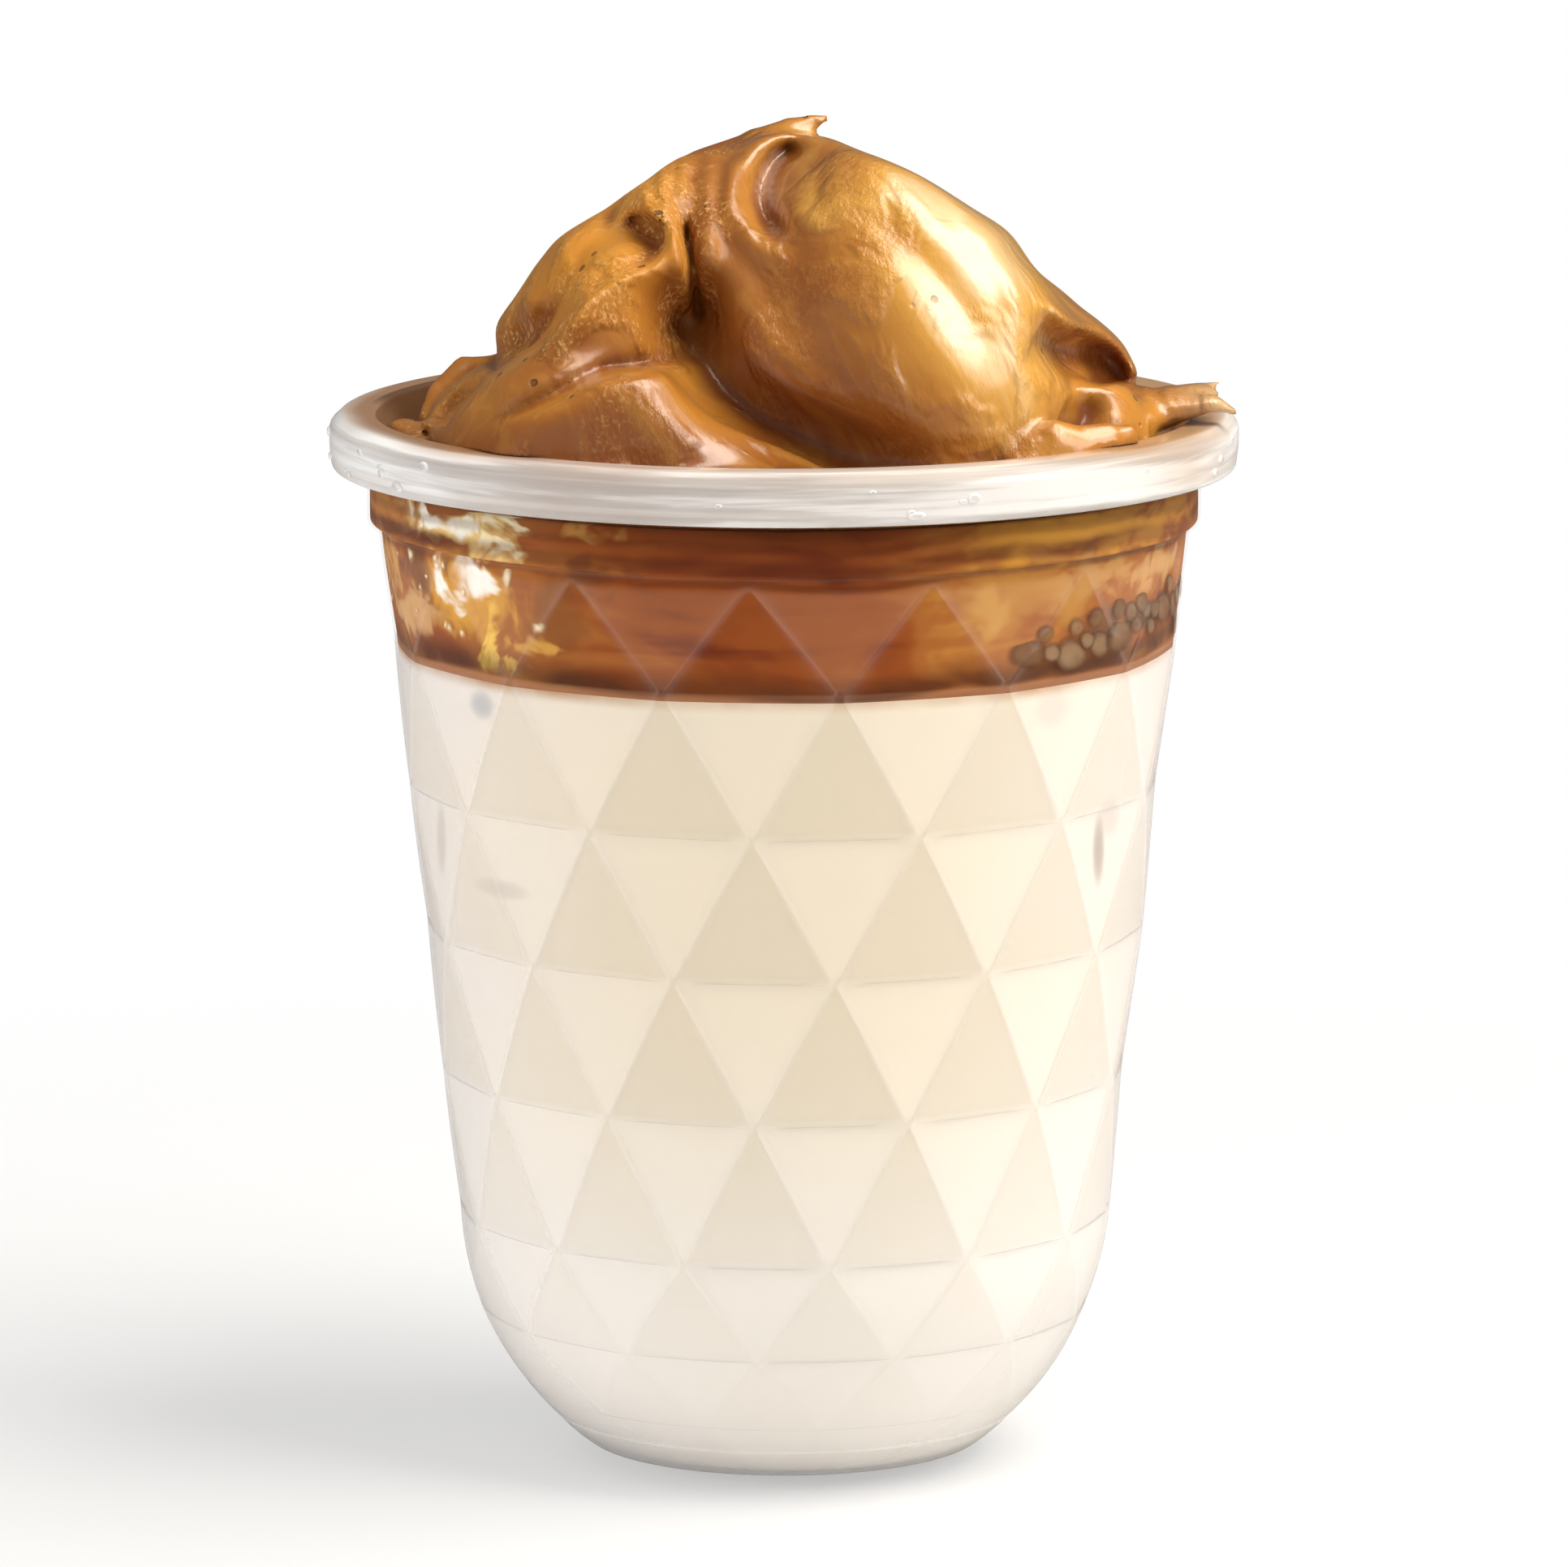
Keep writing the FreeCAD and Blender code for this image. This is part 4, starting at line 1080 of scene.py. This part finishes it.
# Strings of balls that stand clear of the round form: blend, flatness and (x, y, z, radius)
HEAP_STRINGS = [
    # Peak
    (1.6, 1.0, [(-5.5, 1.0, 134.5, 4.6), (-2.5, 0.0, 138.0, 2.6), (0.6, 0.0, 140.2, 1.5),
                (2.8, 0.0, 141.2, 0.8), (4.5, 0.0, 141.6, 0.3)]),
    # Tongue over the rim, with its two tips
    (2.6, 2.4, [(30.0, -9.0, 110.4, 7.0), (36.5, -8.5, 111.9, 5.2), (40.6, -8.0, 113.0, 3.8),
                (42.6, -7.4, 113.6, 2.6)]),
    (1.0, 1.8, [(41.2, -6.4, 113.2, 2.2), (43.4, -5.4, 113.9, 1.3), (45.4, -4.4, 114.5, 0.2)]),
    (1.0, 1.8, [(41.0, -10.4, 112.6, 2.2), (44.0, -10.8, 113.2, 1.6), (46.8, -10.8, 112.2, 0.4)]),
    # Low curl at the right
    (1.2, 0.7, [(24.0, -29.5, 108.0, 2.6), (27.4, -28.8, 110.9, 2.2), (29.8, -27.6, 109.8, 2.4),
                (33.0, -26.0, 110.6, 1.9), (35.2, -25.0, 111.6, 1.0), (37.0, -24.2, 109.6, 0.3)]),
    # Lumps along the left rim
    (1.6, 1.0, [(-40.6, -3.0, 107.8, 2.0), (-39.4, -8.5, 108.8, 2.5), (-38.2, -13.5, 108.0, 2.0)]),
    (1.2, 1.0, [(-29.0, 8.0, 112.5, 3.5), (-33.5, 8.0, 114.0, 1.6), (-36.4, 5.0, 112.2, 1.0),
                (-37.6, 0.0, 110.0, 0.7)]),
]


def heap_relief(gx, gz):
    """Folds of the heap, as heights above its round form, over its front."""
    relief = np.zeros(gx.shape)
    for line, crests in HEAP_FOLDS:
        s, t = side_distance(gx, gz, smooth_curve(line, 60))
        for height, shift, width, start, end in crests:
            relief += height * crest(s + shift, width) * fade_ends(t, start, end)
    for line, height, width in HEAP_ROPES:
        s, t = side_distance(gx, gz, smooth_curve(line, 30))
        relief += height * crest(s, width) * fade_ends(t, 0.3, 0.35)
    for line, height, soft, slope, start, end in HEAP_BANKS:
        s, t = side_distance(gx, gz, smooth_curve(line, 60))
        relief += height * bank(s, soft, slope) * fade_ends(t, start, end)
    # Folded ribbon: a thin crest with a long slope below it
    s, t = side_distance(gx, gz, smooth_curve(RIBBON, 110))
    slope = np.where(s < 0, crest(s, 0.8), np.exp(-np.maximum(s, 0) / 6.0))
    relief += 2.8 * slope * fade_ends(t, 0.12, 0.05)
    for height, x, z, wide, high in HEAP_SWELLINGS:
        relief += height * np.exp(-((gx - x) / wide) ** 2 - ((gz - z) / high) ** 2)
    return relief


def string_distance(x, y, z, balls, flat):
    """Distance from a string of balls of changing size, flattened from above."""
    best = np.full(np.broadcast(x, y, z).shape, 1e9, np.float32)
    for (ax, ay, az, ar), (bx, by, bz, br) in zip(balls, balls[1:]):
        dx, dy, dz = bx - ax, by - ay, (bz - az) * flat
        px, py, pz = x - ax, y - ay, (z - az) * flat
        along = np.clip((px * dx + py * dy + pz * dz) / (dx * dx + dy * dy + dz * dz), 0, 1)
        gap = np.sqrt((px - along * dx) ** 2 + (py - along * dy) ** 2 + (pz - along * dz) ** 2)
        best = np.minimum(best, gap - ar - along * (br - ar))
    return best


def add_string(field, axes, blend, flat, balls):
    """Join a string of balls to the field, in the box around it."""
    points = np.array(balls)
    margin = 6.0
    low = points[:, :3].min(0) - points[:, 3].max() - margin
    high = points[:, :3].max(0) + points[:, 3].max() + margin
    near = tuple(slice(*np.searchsorted(axis, (start, end))) for axis, start, end in zip(axes, low, high))
    x, y, z = (axis[part] for axis, part in zip(axes, near))
    part = string_distance(x[:, None, None], y[None, :, None], z[None, None, :], balls, flat)
    field[near] = soft_min(field[near], part, blend)


def soft_min(a, b, blend):
    """The lower of two fields, with their meeting rounded."""
    near = np.maximum(blend - np.abs(a - b), 0) / blend
    return np.minimum(a, b) - near * near * blend / 4


def sample(table, u, v):
    """Bilinear reading of a table at fractional places."""
    i = np.clip(u.astype(np.int32), 0, table.shape[0] - 2)
    j = np.clip(v.astype(np.int32), 0, table.shape[1] - 2)
    fu, fv = np.clip(u - i, 0, 1), np.clip(v - j, 0, 1)
    low = table[i, j] * (1 - fu) + table[i + 1, j] * fu
    high = table[i, j + 1] * (1 - fu) + table[i + 1, j + 1] * fu
    return low * (1 - fv) + high * fv


def round_form(outline, xs, y, z, cell):
    """The heap without lobes and folds: its outline from the front, rounded from front to back."""
    top = np.interp(xs, outline[:, 0], outline[:, 1]).astype(np.float32)
    depth = np.sqrt(np.maximum(HEAP_HALF_DEPTH ** 2 - xs ** 2, 4.0)).astype(np.float32)
    form = (z - HEAP_FOOT) / (top - HEAP_FOOT)[:, None, None] + (y / depth[:, None, None]) ** 2 - 1
    form += 0.4 * np.maximum(np.abs(xs) - 36.6, 0)[:, None, None]
    gx, gy, gz = np.gradient(form, cell)
    return form / np.maximum(np.sqrt(gx * gx + gy * gy + gz * gz), 0.012)


def folds(x, y, z):
    """Height of the folds at every grid point; the back carries a lower mirror image of the front's."""
    step, low_x, low_z = 0.25, -46.0, 96.0
    map_x, map_z = np.arange(low_x, 50.0, step), np.arange(low_z, 150.0, step)
    table = heap_relief(*np.meshgrid(map_x, map_z, indexing="ij")).astype(np.float32)
    shape = np.broadcast(x, y, z).shape

    def read(across, up):
        return sample(table, np.broadcast_to((across - low_x) / step, shape),
                      np.broadcast_to((up - low_z) / step, shape))

    behind = smooth(rise(y, -3.0, 9.0))
    relief = read(x, z + VIEW_TILT * y) * (1 - behind)
    relief += read(-x, z - VIEW_TILT * y) * behind * 0.8
    return relief


def trim_to_outline(field, outline, xs, ys, z):
    """Cut the form softly to the outline, which narrows towards the front and the back."""
    plan = np.sqrt(np.maximum(1 - (ys / 47.0) ** 2, 0.05))
    top = np.interp(xs[:, None] / plan[None, :], outline[:, 0], outline[:, 1]).astype(np.float32)
    steep = np.sqrt(1 + np.gradient(top, xs, axis=0) ** 2)
    past = (z + VIEW_TILT * ys[None, :, None] - top[:, :, None]) / steep[:, :, None]
    return -soft_min(-field, -past, 1.6)


def fill_mouth(field, x, y, z, pool):
    """Join the pool that fills the cup's mouth, and cut at the wall, the rim and the coffee."""
    radius = np.sqrt(x * x + y * y)
    wall = radius - (MOUTH + 0.15)
    ripple = 0.25 * np.sin(x * 0.21 + 1.0) * np.cos(y * 0.17)
    creep = 0.012 * np.maximum(radius - 36, 0) ** 2
    level = pool - 2.4 * smooth(rise(y, -36.0, 12.0)) + ripple + creep
    field = soft_min(field, np.maximum(z - level, wall), 2.2)
    field = np.maximum(field, np.minimum(wall, CUP_TOP + 0.02 - z))
    over_rim = np.maximum(radius - 44.3, 0.0) * rise(y, -14.0, -10.0)
    field = np.where(over_rim > 0, np.maximum(field, over_rim), field)
    return np.maximum(field, COFFEE_LEVEL - z)


def heap_field(cell, pool):
    """Distance-like field of the whipped coffee on a grid, and the grid's axes."""
    axes = [np.arange(low, high, cell, dtype=np.float32) for low, high in HEAP_SPAN]
    xs, ys, zs = axes
    x, y, z = xs[:, None, None], ys[None, :, None], zs[None, None, :]
    outline = smooth_curve(HEAP_OUTLINE, 600)
    field = round_form(outline, xs, y, z, cell)
    for blend, centre, long_side, halves in HEAP_LOBES:
        field = soft_min(field, lobe_distance(x, y, z, centre, long_side, halves), blend)
    field -= folds(x, y, z)
    field = trim_to_outline(field, outline, xs, ys, z)
    for blend, flat, balls in HEAP_STRINGS:
        add_string(field, axes, blend, flat, balls)
    return fill_mouth(field, x, y, z, pool), axes


def surface_net(field, axes, cell):
    """Quads through the zero of a field, one point a cell."""
    cells = tuple(size - 1 for size in field.shape)
    count = np.zeros(cells, np.float32)
    total = np.zeros((3,) + cells, np.float32)
    inside = field < 0
    crossings = []
    for axis in range(3):
        near = [slice(None)] * 3
        far = [slice(None)] * 3
        near[axis] = slice(0, -1)
        far[axis] = slice(1, None)
        start, end = field[tuple(near)], field[tuple(far)]
        crossed = inside[tuple(near)] != inside[tuple(far)]
        at = np.argwhere(crossed)
        part = start[crossed] / (start[crossed] - end[crossed])
        crossings.append((axis, at, inside[tuple(near)][crossed]))
        others = [a for a in range(3) if a != axis]
        for da in (0, 1):
            for db in (0, 1):
                spot = at.copy()
                spot[:, others[0]] -= da
                spot[:, others[1]] -= db
                fits = np.all((spot >= 0) & (spot < cells), axis=1)
                where = tuple(spot[fits].T)
                place = at[fits].astype(np.float32)
                place[:, axis] += part[fits]
                np.add.at(count, where, 1)
                for a in range(3):
                    np.add.at(total[a], where, place[:, a])
    used = count > 0
    number = np.full(cells, -1, np.int64)
    number[used] = np.arange(used.sum())
    vertices = np.stack([total[a][used] / count[used] * cell + axes[a][0] for a in range(3)], axis=1)
    quads = []
    for axis, at, starts_inside in crossings:
        others = [a for a in range(3) if a != axis]
        fits = np.all([(at[:, a] > 0) & (at[:, a] < cells[a]) for a in others], axis=0)
        at, starts_inside = at[fits], starts_inside[fits]
        corners = []
        for da, db in ((1, 1), (0, 1), (0, 0), (1, 0)):
            spot = at.copy()
            spot[:, others[0]] -= da
            spot[:, others[1]] -= db
            corners.append(number[tuple(spot.T)])
        quad = np.stack(corners, axis=1)
        turned = starts_inside if axis != 1 else ~starts_inside
        quad[~turned] = quad[~turned][:, ::-1]
        quads.append(quad)
    return vertices, np.concatenate(quads)


# Painted highlights, as pale gleams along the main lobe: line as x and height, half width, strength
HEAP_PAINTED_GLEAMS = [
    ([(3.8, 131.4), (8.2, 132.5), (13.9, 131.4), (19.8, 126.1), (23.2, 120.5)], 3.4, 0.8),
    ([(7.8, 126.9), (12.1, 122.9), (16.9, 118.0), (22.6, 116.1)], 1.8, 0.6),
    ([(2.9, 139.0), (2.1, 135.0), (2.9, 131.3), (6.0, 129.5)], 1.1, 0.9),
]
LIT_WAY = np.array([0.78, -0.43, 0.45])              # way to the light
LIT_WAY_LEFT = np.array([-0.35, -0.55, 0.76])        # way to the light for the left lobes


def read_points(mesh, name):
    values = np.empty(len(mesh.vertices) * 3, np.float32)
    mesh.vertices.foreach_get(name, values)
    return values.reshape(-1, 3)


def surface_marks(piece, pool):
    """Marks for each point: in a fold and turned from the light, for painted shade; film at the wall; dull;
    gleaming, for painted highlights.
    """
    mesh = piece.data
    count = len(mesh.vertices)
    points, normals = read_points(mesh, "co"), read_points(mesh, "normal")
    edges = np.empty(len(mesh.edges) * 2, np.int64)
    mesh.edges.foreach_get("vertices", edges)
    a, b = edges.reshape(-1, 2).T
    degree = np.maximum(np.bincount(np.concatenate([a, b]), minlength=count), 1)

    def spread(values, times):
        """Average with the neighbours, again and again."""
        for _ in range(times):
            values = (np.bincount(a, values[b], count) + np.bincount(b, values[a], count)) / degree
        return values

    def depth_below(smoother):
        return ((smoother - points) * normals).sum(1) / MM

    fine = np.stack([spread(points[:, axis], 10) for axis in range(3)], axis=1)
    broad = np.stack([spread(fine[:, axis], 32) for axis in range(3)], axis=1)
    fold = 3.5 * spread(depth_below(fine), 4) + 0.8 * np.maximum(spread(depth_below(broad), 6), 0)

    x, y, z = (points / MM).T
    height = z + VIEW_TILT * y
    front = np.clip(-2.0 * normals[:, 1], 0, 1)
    lit = np.maximum(normals @ LIT_WAY, rise(x, -7.0, -5.0) * (normals @ LIT_WAY_LEFT))
    # Painted highlight where the main lobe faces the light and along the gleams
    glow = rise(x, -1.0, 10.0) * rise(x, 30.0, -5.0) * rise(lit, 0.50, 0.3)
    for line, width, amount in HEAP_PAINTED_GLEAMS:
        s, t = side_distance(x, height, smooth_curve(line, 24))
        glow += amount * front * crest(s, width) * fade_ends(t, 0.15, 0.2)
    # Painted shade where the surface turns from the light, and by place: at the left, low at the left, at the
    # foot, along the ropes and on the ribbon's slope, less at the left top
    turned = rise(lit, 0.76, -0.62) + 0.12 * rise(x, -3.0, -6.0)
    turned += 0.42 * rise(height, 124.0, -7.0) * rise(x, -6.0, -8.0)
    turned += 0.75 * rise(height, 110.5, -4.0) * rise(x, 9.0, -8.0)
    turned += 0.60 * front * crest(x + 7.0, 4.5) * rise(height, 114.0, 6.0)
    turned += 0.50 * front * crest(x + 23.0, 6.0) * crest(height - 115.5, 4.0)
    turned -= 0.35 * crest(x + 16.0, 4.0) * crest(height - 129.0, 5.0)
    film = rise(y, -24.0, 8.0) * rise(np.hypot(x, y), 35.0, 3.0) * rise(z, pool + 0.4, -0.8)
    dull = np.maximum(rise(height, 113.0, 5.0), 0.45 * rise(x, -13.0, -4.0)) * rise(x, -2.0, -5.0)
    return {"fold": np.clip(fold, 0, 1), "turned": spread(np.clip(turned, 0, 1), 10),
            "film": spread(film, 6), "dull": dull, "glow": spread(glow, 6)}


def cream_material(heap):
    """Glossy whipped coffee with fine streaks, pits and darker folds."""
    n = Nodes("whipped_coffee")
    x, _, _ = n.axes()
    dull = n.attribute("dull")
    streak = n.leaning_noise(330.0, math.radians(-28), 7.0, 5.0)
    grain = n.noise(1100.0, 3.0, (1.0, 1.0, 0.5), 0.6)

    # Painted shade in folds and away from the light, painted highlight along the gleams
    paint = n.mix(n.attribute("fold"), heap.cream, heap.cream_fold_shade)
    paint = n.mix(n.times(n.attribute("turned"), 0.9), paint, heap.cream_shade)
    glow = n.plus(n.attribute("glow"), n.ramp(streak, 0.3, 0.7, -0.25, 0.25, "LINEAR"))
    paint = n.mix(n.ramp(glow, 0.0, 1.0, 0.0, 0.75, "LINEAR"), paint, (0.68, 0.36, 0.058))
    paint = n.mix(n.ramp(glow, 0.75, 1.5, 0.0, 0.75), paint, (0.80, 0.585, 0.34))
    tone = n.noise(28.0, 4.0, (1.0, 1.0, 1.0), 0.5, 0.5)
    paint = n.mix(n.times(n.ramp(tone, 0.4, 0.75), 0.22), paint, (0.58, 0.29, 0.06))

    # Rough patches with painted sparkle glints, and scattered pits painted dark as shade
    rough = n.ramp(n.noise(80.0, 3.0, (1.0, 1.0, 0.7), 0.5, 1.0), 0.48, 0.60)
    sparkle = n.ramp(n.leaning_noise(2300.0, math.radians(-20), 1.6, 4.0), 0.50, 0.68)
    sparkle = n.times(sparkle, n.times(rough, n.ramp(dull, 0.0, 1.0, 0.08, 0.45)))
    paint = n.mix(sparkle, paint, (0.84, 0.52, 0.18))
    pits = n.add("ShaderNodeTexVoronoi")
    n.set(pits.inputs["Vector"], n.place())
    pits.inputs["Scale"].default_value = 330.0
    pit = n.ramp(pits.outputs["Distance"], 0.10, 0.17, 1.0, 0.0)
    pit = n.times(pit, n.ramp(n.noise(70.0, 2.0), 0.56, 0.62))
    paint = n.mix(n.times(pit, 0.7), paint, (0.09, 0.025, 0.008))

    # Paler tips over the rim, thin film at the wall painted darker at the left as shade, with dark swirls at
    # the left
    paint = n.mix(n.times(n.ramp(x, 0.038, 0.046), 0.5), paint, (0.78, 0.56, 0.32))
    film = n.attribute("film")
    film_colour = n.mix(n.ramp(x, -0.02, 0.03), (0.26, 0.115, 0.036), heap.film)
    paint = n.mix(n.times(film, 0.85), paint, film_colour)
    swirl = n.ramp(n.noise(90.0, 2.0, (1.0, 1.0, 1.5), 0.5, 2.0), 0.45, 0.6)
    swirl = n.times(n.times(swirl, film), n.ramp(x, -0.02, -0.036, 0.0, 0.8))
    paint = n.mix(swirl, paint, (0.085, 0.032, 0.012))

    height = n.times(n.plus(streak, n.times(grain, 0.45)), n.plus(n.times(rough, 0.8), 0.22))
    height = n.minus(height, n.times(pit, 0.6))
    shader = n.principled(Base_Color=paint, Roughness=n.ramp(dull, 0.0, 1.0, 0.32, 0.50),
                          IOR=n.ramp(dull, 0.0, 1.0, 1.55, 1.38), Normal=n.bump(height, 0.9, 0.0007),
                          Coat_Weight=n.ramp(dull, 0.0, 1.0, 0.9, 0.22), Coat_Roughness=0.20)
    return n.end(shader)


class DALGONA_OT_heap(bpy.types.Operator):
    """Heap the whipped coffee above the rim"""
    bl_idname = "dalgona.heap"
    bl_label = "Whipped coffee"

    def execute(self, context):
        heap = context.scene.dalgona_heap
        cell = heap.cell / MM
        pool = CUP_TOP - heap.pool_drop / MM
        field, axes = heap_field(cell, pool)
        vertices, quads = surface_net(field, axes, cell)
        piece = make_object("whipped_heap", vertices, quads.tolist(), cream_material(heap))
        for name, values in surface_marks(piece, pool).items():
            add_attribute(piece, name, values)
        finish_piece(piece, "whipped_coffee", "whipped_coffee")
        return {"FINISHED"}


# ---------------------------------------------------------------- stage

def stage_world(stage):
    """Even light all round, seen as plain white."""
    world = bpy.data.worlds.new("studio")
    world.use_nodes = True
    tree = world.node_tree
    tree.nodes.clear()
    path = tree.nodes.new("ShaderNodeLightPath").outputs

    def background(strength):
        node = tree.nodes.new("ShaderNodeBackground")
        node.inputs["Color"].default_value = (*WHITE, 1.0)
        node.inputs["Strength"].default_value = strength
        return node.outputs[0]

    def choose(share, a, b):
        node = tree.nodes.new("ShaderNodeMixShader")
        for socket, source in zip(node.inputs, (share, a, b)):
            tree.links.new(source, socket)
        return node.outputs[0]

    room = choose(path["Is Glossy Ray"], background(stage.ambient), background(stage.reflected))
    seen = tree.nodes.new("ShaderNodeMath")
    seen.operation = "MAXIMUM"
    tree.links.new(path["Is Camera Ray"], seen.inputs[0])
    tree.links.new(path["Is Transmission Ray"], seen.inputs[1])
    output = tree.nodes.new("ShaderNodeOutputWorld")
    tree.links.new(choose(seen.outputs[0], room, background(1.0)), output.inputs["Surface"])
    bpy.context.scene.world = world


def floor_material(stage):
    """Pale floor that goes to white away from the shadow."""
    n = Nodes("pale_floor")
    path = n.add("ShaderNodeLightPath").outputs
    matt = n.add("ShaderNodeBsdfDiffuse")
    n.set(matt.inputs["Color"], n.mix(path["Is Glossy Ray"], stage.floor, stage.floor_in_gloss))
    glow = n.add("ShaderNodeEmission")
    n.set(glow.inputs["Color"], WHITE)
    glow.inputs["Strength"].default_value = 1.0
    away = n.ramp(n.radius(), 0.05, 0.30, 0.45, 1.0)
    mix = n.add("ShaderNodeMixShader")
    for socket, source in zip(mix.inputs, (n.times(path["Is Camera Ray"], away), matt.outputs[0],
                                           glow.outputs[0])):
        n.set(socket, source)
    return n.end(mix)


def add_softbox(name, place, aim, size, power, tint=WHITE, glossy=True):
    """A soft rectangular lamp; without gloss it lights but isn't mirrored."""
    light = bpy.data.lights.new(name, "AREA")
    light.shape = "RECTANGLE"
    light.size, light.size_y = size
    light.energy = power
    light.color = tint
    lamp = bpy.data.objects.new(name, light)
    lamp.location = place
    lamp.rotation_euler = (Vector(aim) - Vector(place)).to_track_quat("-Z", "Y").to_euler()
    lamp.visible_glossy = glossy
    bpy.context.scene.collection.objects.link(lamp)


class DALGONA_OT_stage(bpy.types.Operator):
    """Floor, light and camera"""
    bl_idname = "dalgona.stage"
    bl_label = "Stage"

    def execute(self, context):
        stage = context.scene.dalgona_stage
        scene = context.scene
        scene.view_settings.view_transform = "Standard"
        stage_world(stage)
        half = 3000.0
        corners = [(-half, -half, 0), (half, -half, 0), (half, half, 0), (-half, half, 0)]
        floor = make_object("floor", corners, [(0, 1, 2, 3)], floor_material(stage), smooth=False)
        middle = (0.0, 0.0, RIM_TOP)
        add_softbox("key_softbox", (0.50, -0.32, 0.44), middle, (0.36, 0.36), stage.key_power,
                    (1.0, 0.97, 0.92))
        add_softbox("top_softbox", (0.29, -0.08, 0.65), middle, (0.56, 0.50), stage.top_power,
                    (1.0, 0.95, 0.85))
        add_softbox("fill_softbox", (-0.84, -0.34, 0.15), middle, (0.5, 0.5), stage.fill_power, glossy=False)
        camera = bpy.data.objects.new("camera", bpy.data.cameras.new("camera"))
        camera.data.lens = stage.lens
        camera.data.sensor_width = 36.0
        camera.location = (0.0, -stage.camera_distance, stage.camera_height)
        aim = Vector((0.0, 0.0, stage.aim_height)) - camera.location
        camera.rotation_euler = aim.to_track_quat("-Z", "Y").to_euler()
        camera.data.clip_end = 20.0
        scene.collection.objects.link(camera)
        scene.camera = camera
        return {"FINISHED"}


# ---------------------------------------------------------------- add-on

class DALGONA_PT_panel(bpy.types.Panel):
    """Lists the steps that build the drink"""
    bl_idname = "DALGONA_PT_panel"
    bl_label = "Dalgona Coffee"
    bl_space_type = "VIEW_3D"
    bl_region_type = "UI"
    bl_category = "Dalgona Coffee"

    def draw(self, context):
        for operator in OPERATORS:
            self.layout.operator(operator.bl_idname)
        for name in GROUPS:
            box = self.layout.box()
            box.label(text=name.replace("dalgona_", "").title())
            group = getattr(context.scene, name)
            for key in group.__annotations__:
                box.prop(group, key)


GROUPS = {
    "dalgona_cup": CupSettings,
    "dalgona_drink": DrinkSettings,
    "dalgona_heap": HeapSettings,
    "dalgona_stage": StageSettings,
}
OPERATORS = [DALGONA_OT_cup, DALGONA_OT_milk, DALGONA_OT_coffee, DALGONA_OT_bubbles, DALGONA_OT_glints,
             DALGONA_OT_drops, DALGONA_OT_heap, DALGONA_OT_stage]
CLASSES = list(GROUPS.values()) + OPERATORS + [DALGONA_PT_panel]


def register():
    for item in CLASSES:
        bpy.utils.register_class(item)
    for name, group in GROUPS.items():
        setattr(bpy.types.Scene, name, bpy.props.PointerProperty(type=group))


def unregister():
    for name in GROUPS:
        delattr(bpy.types.Scene, name)
    for item in reversed(CLASSES):
        bpy.utils.unregister_class(item)


def main():
    """Build everything."""
    register()
    for operator in OPERATORS:
        getattr(bpy.ops.dalgona, operator.bl_idname.split(".")[1])()


if __name__ == "__main__":
    main()
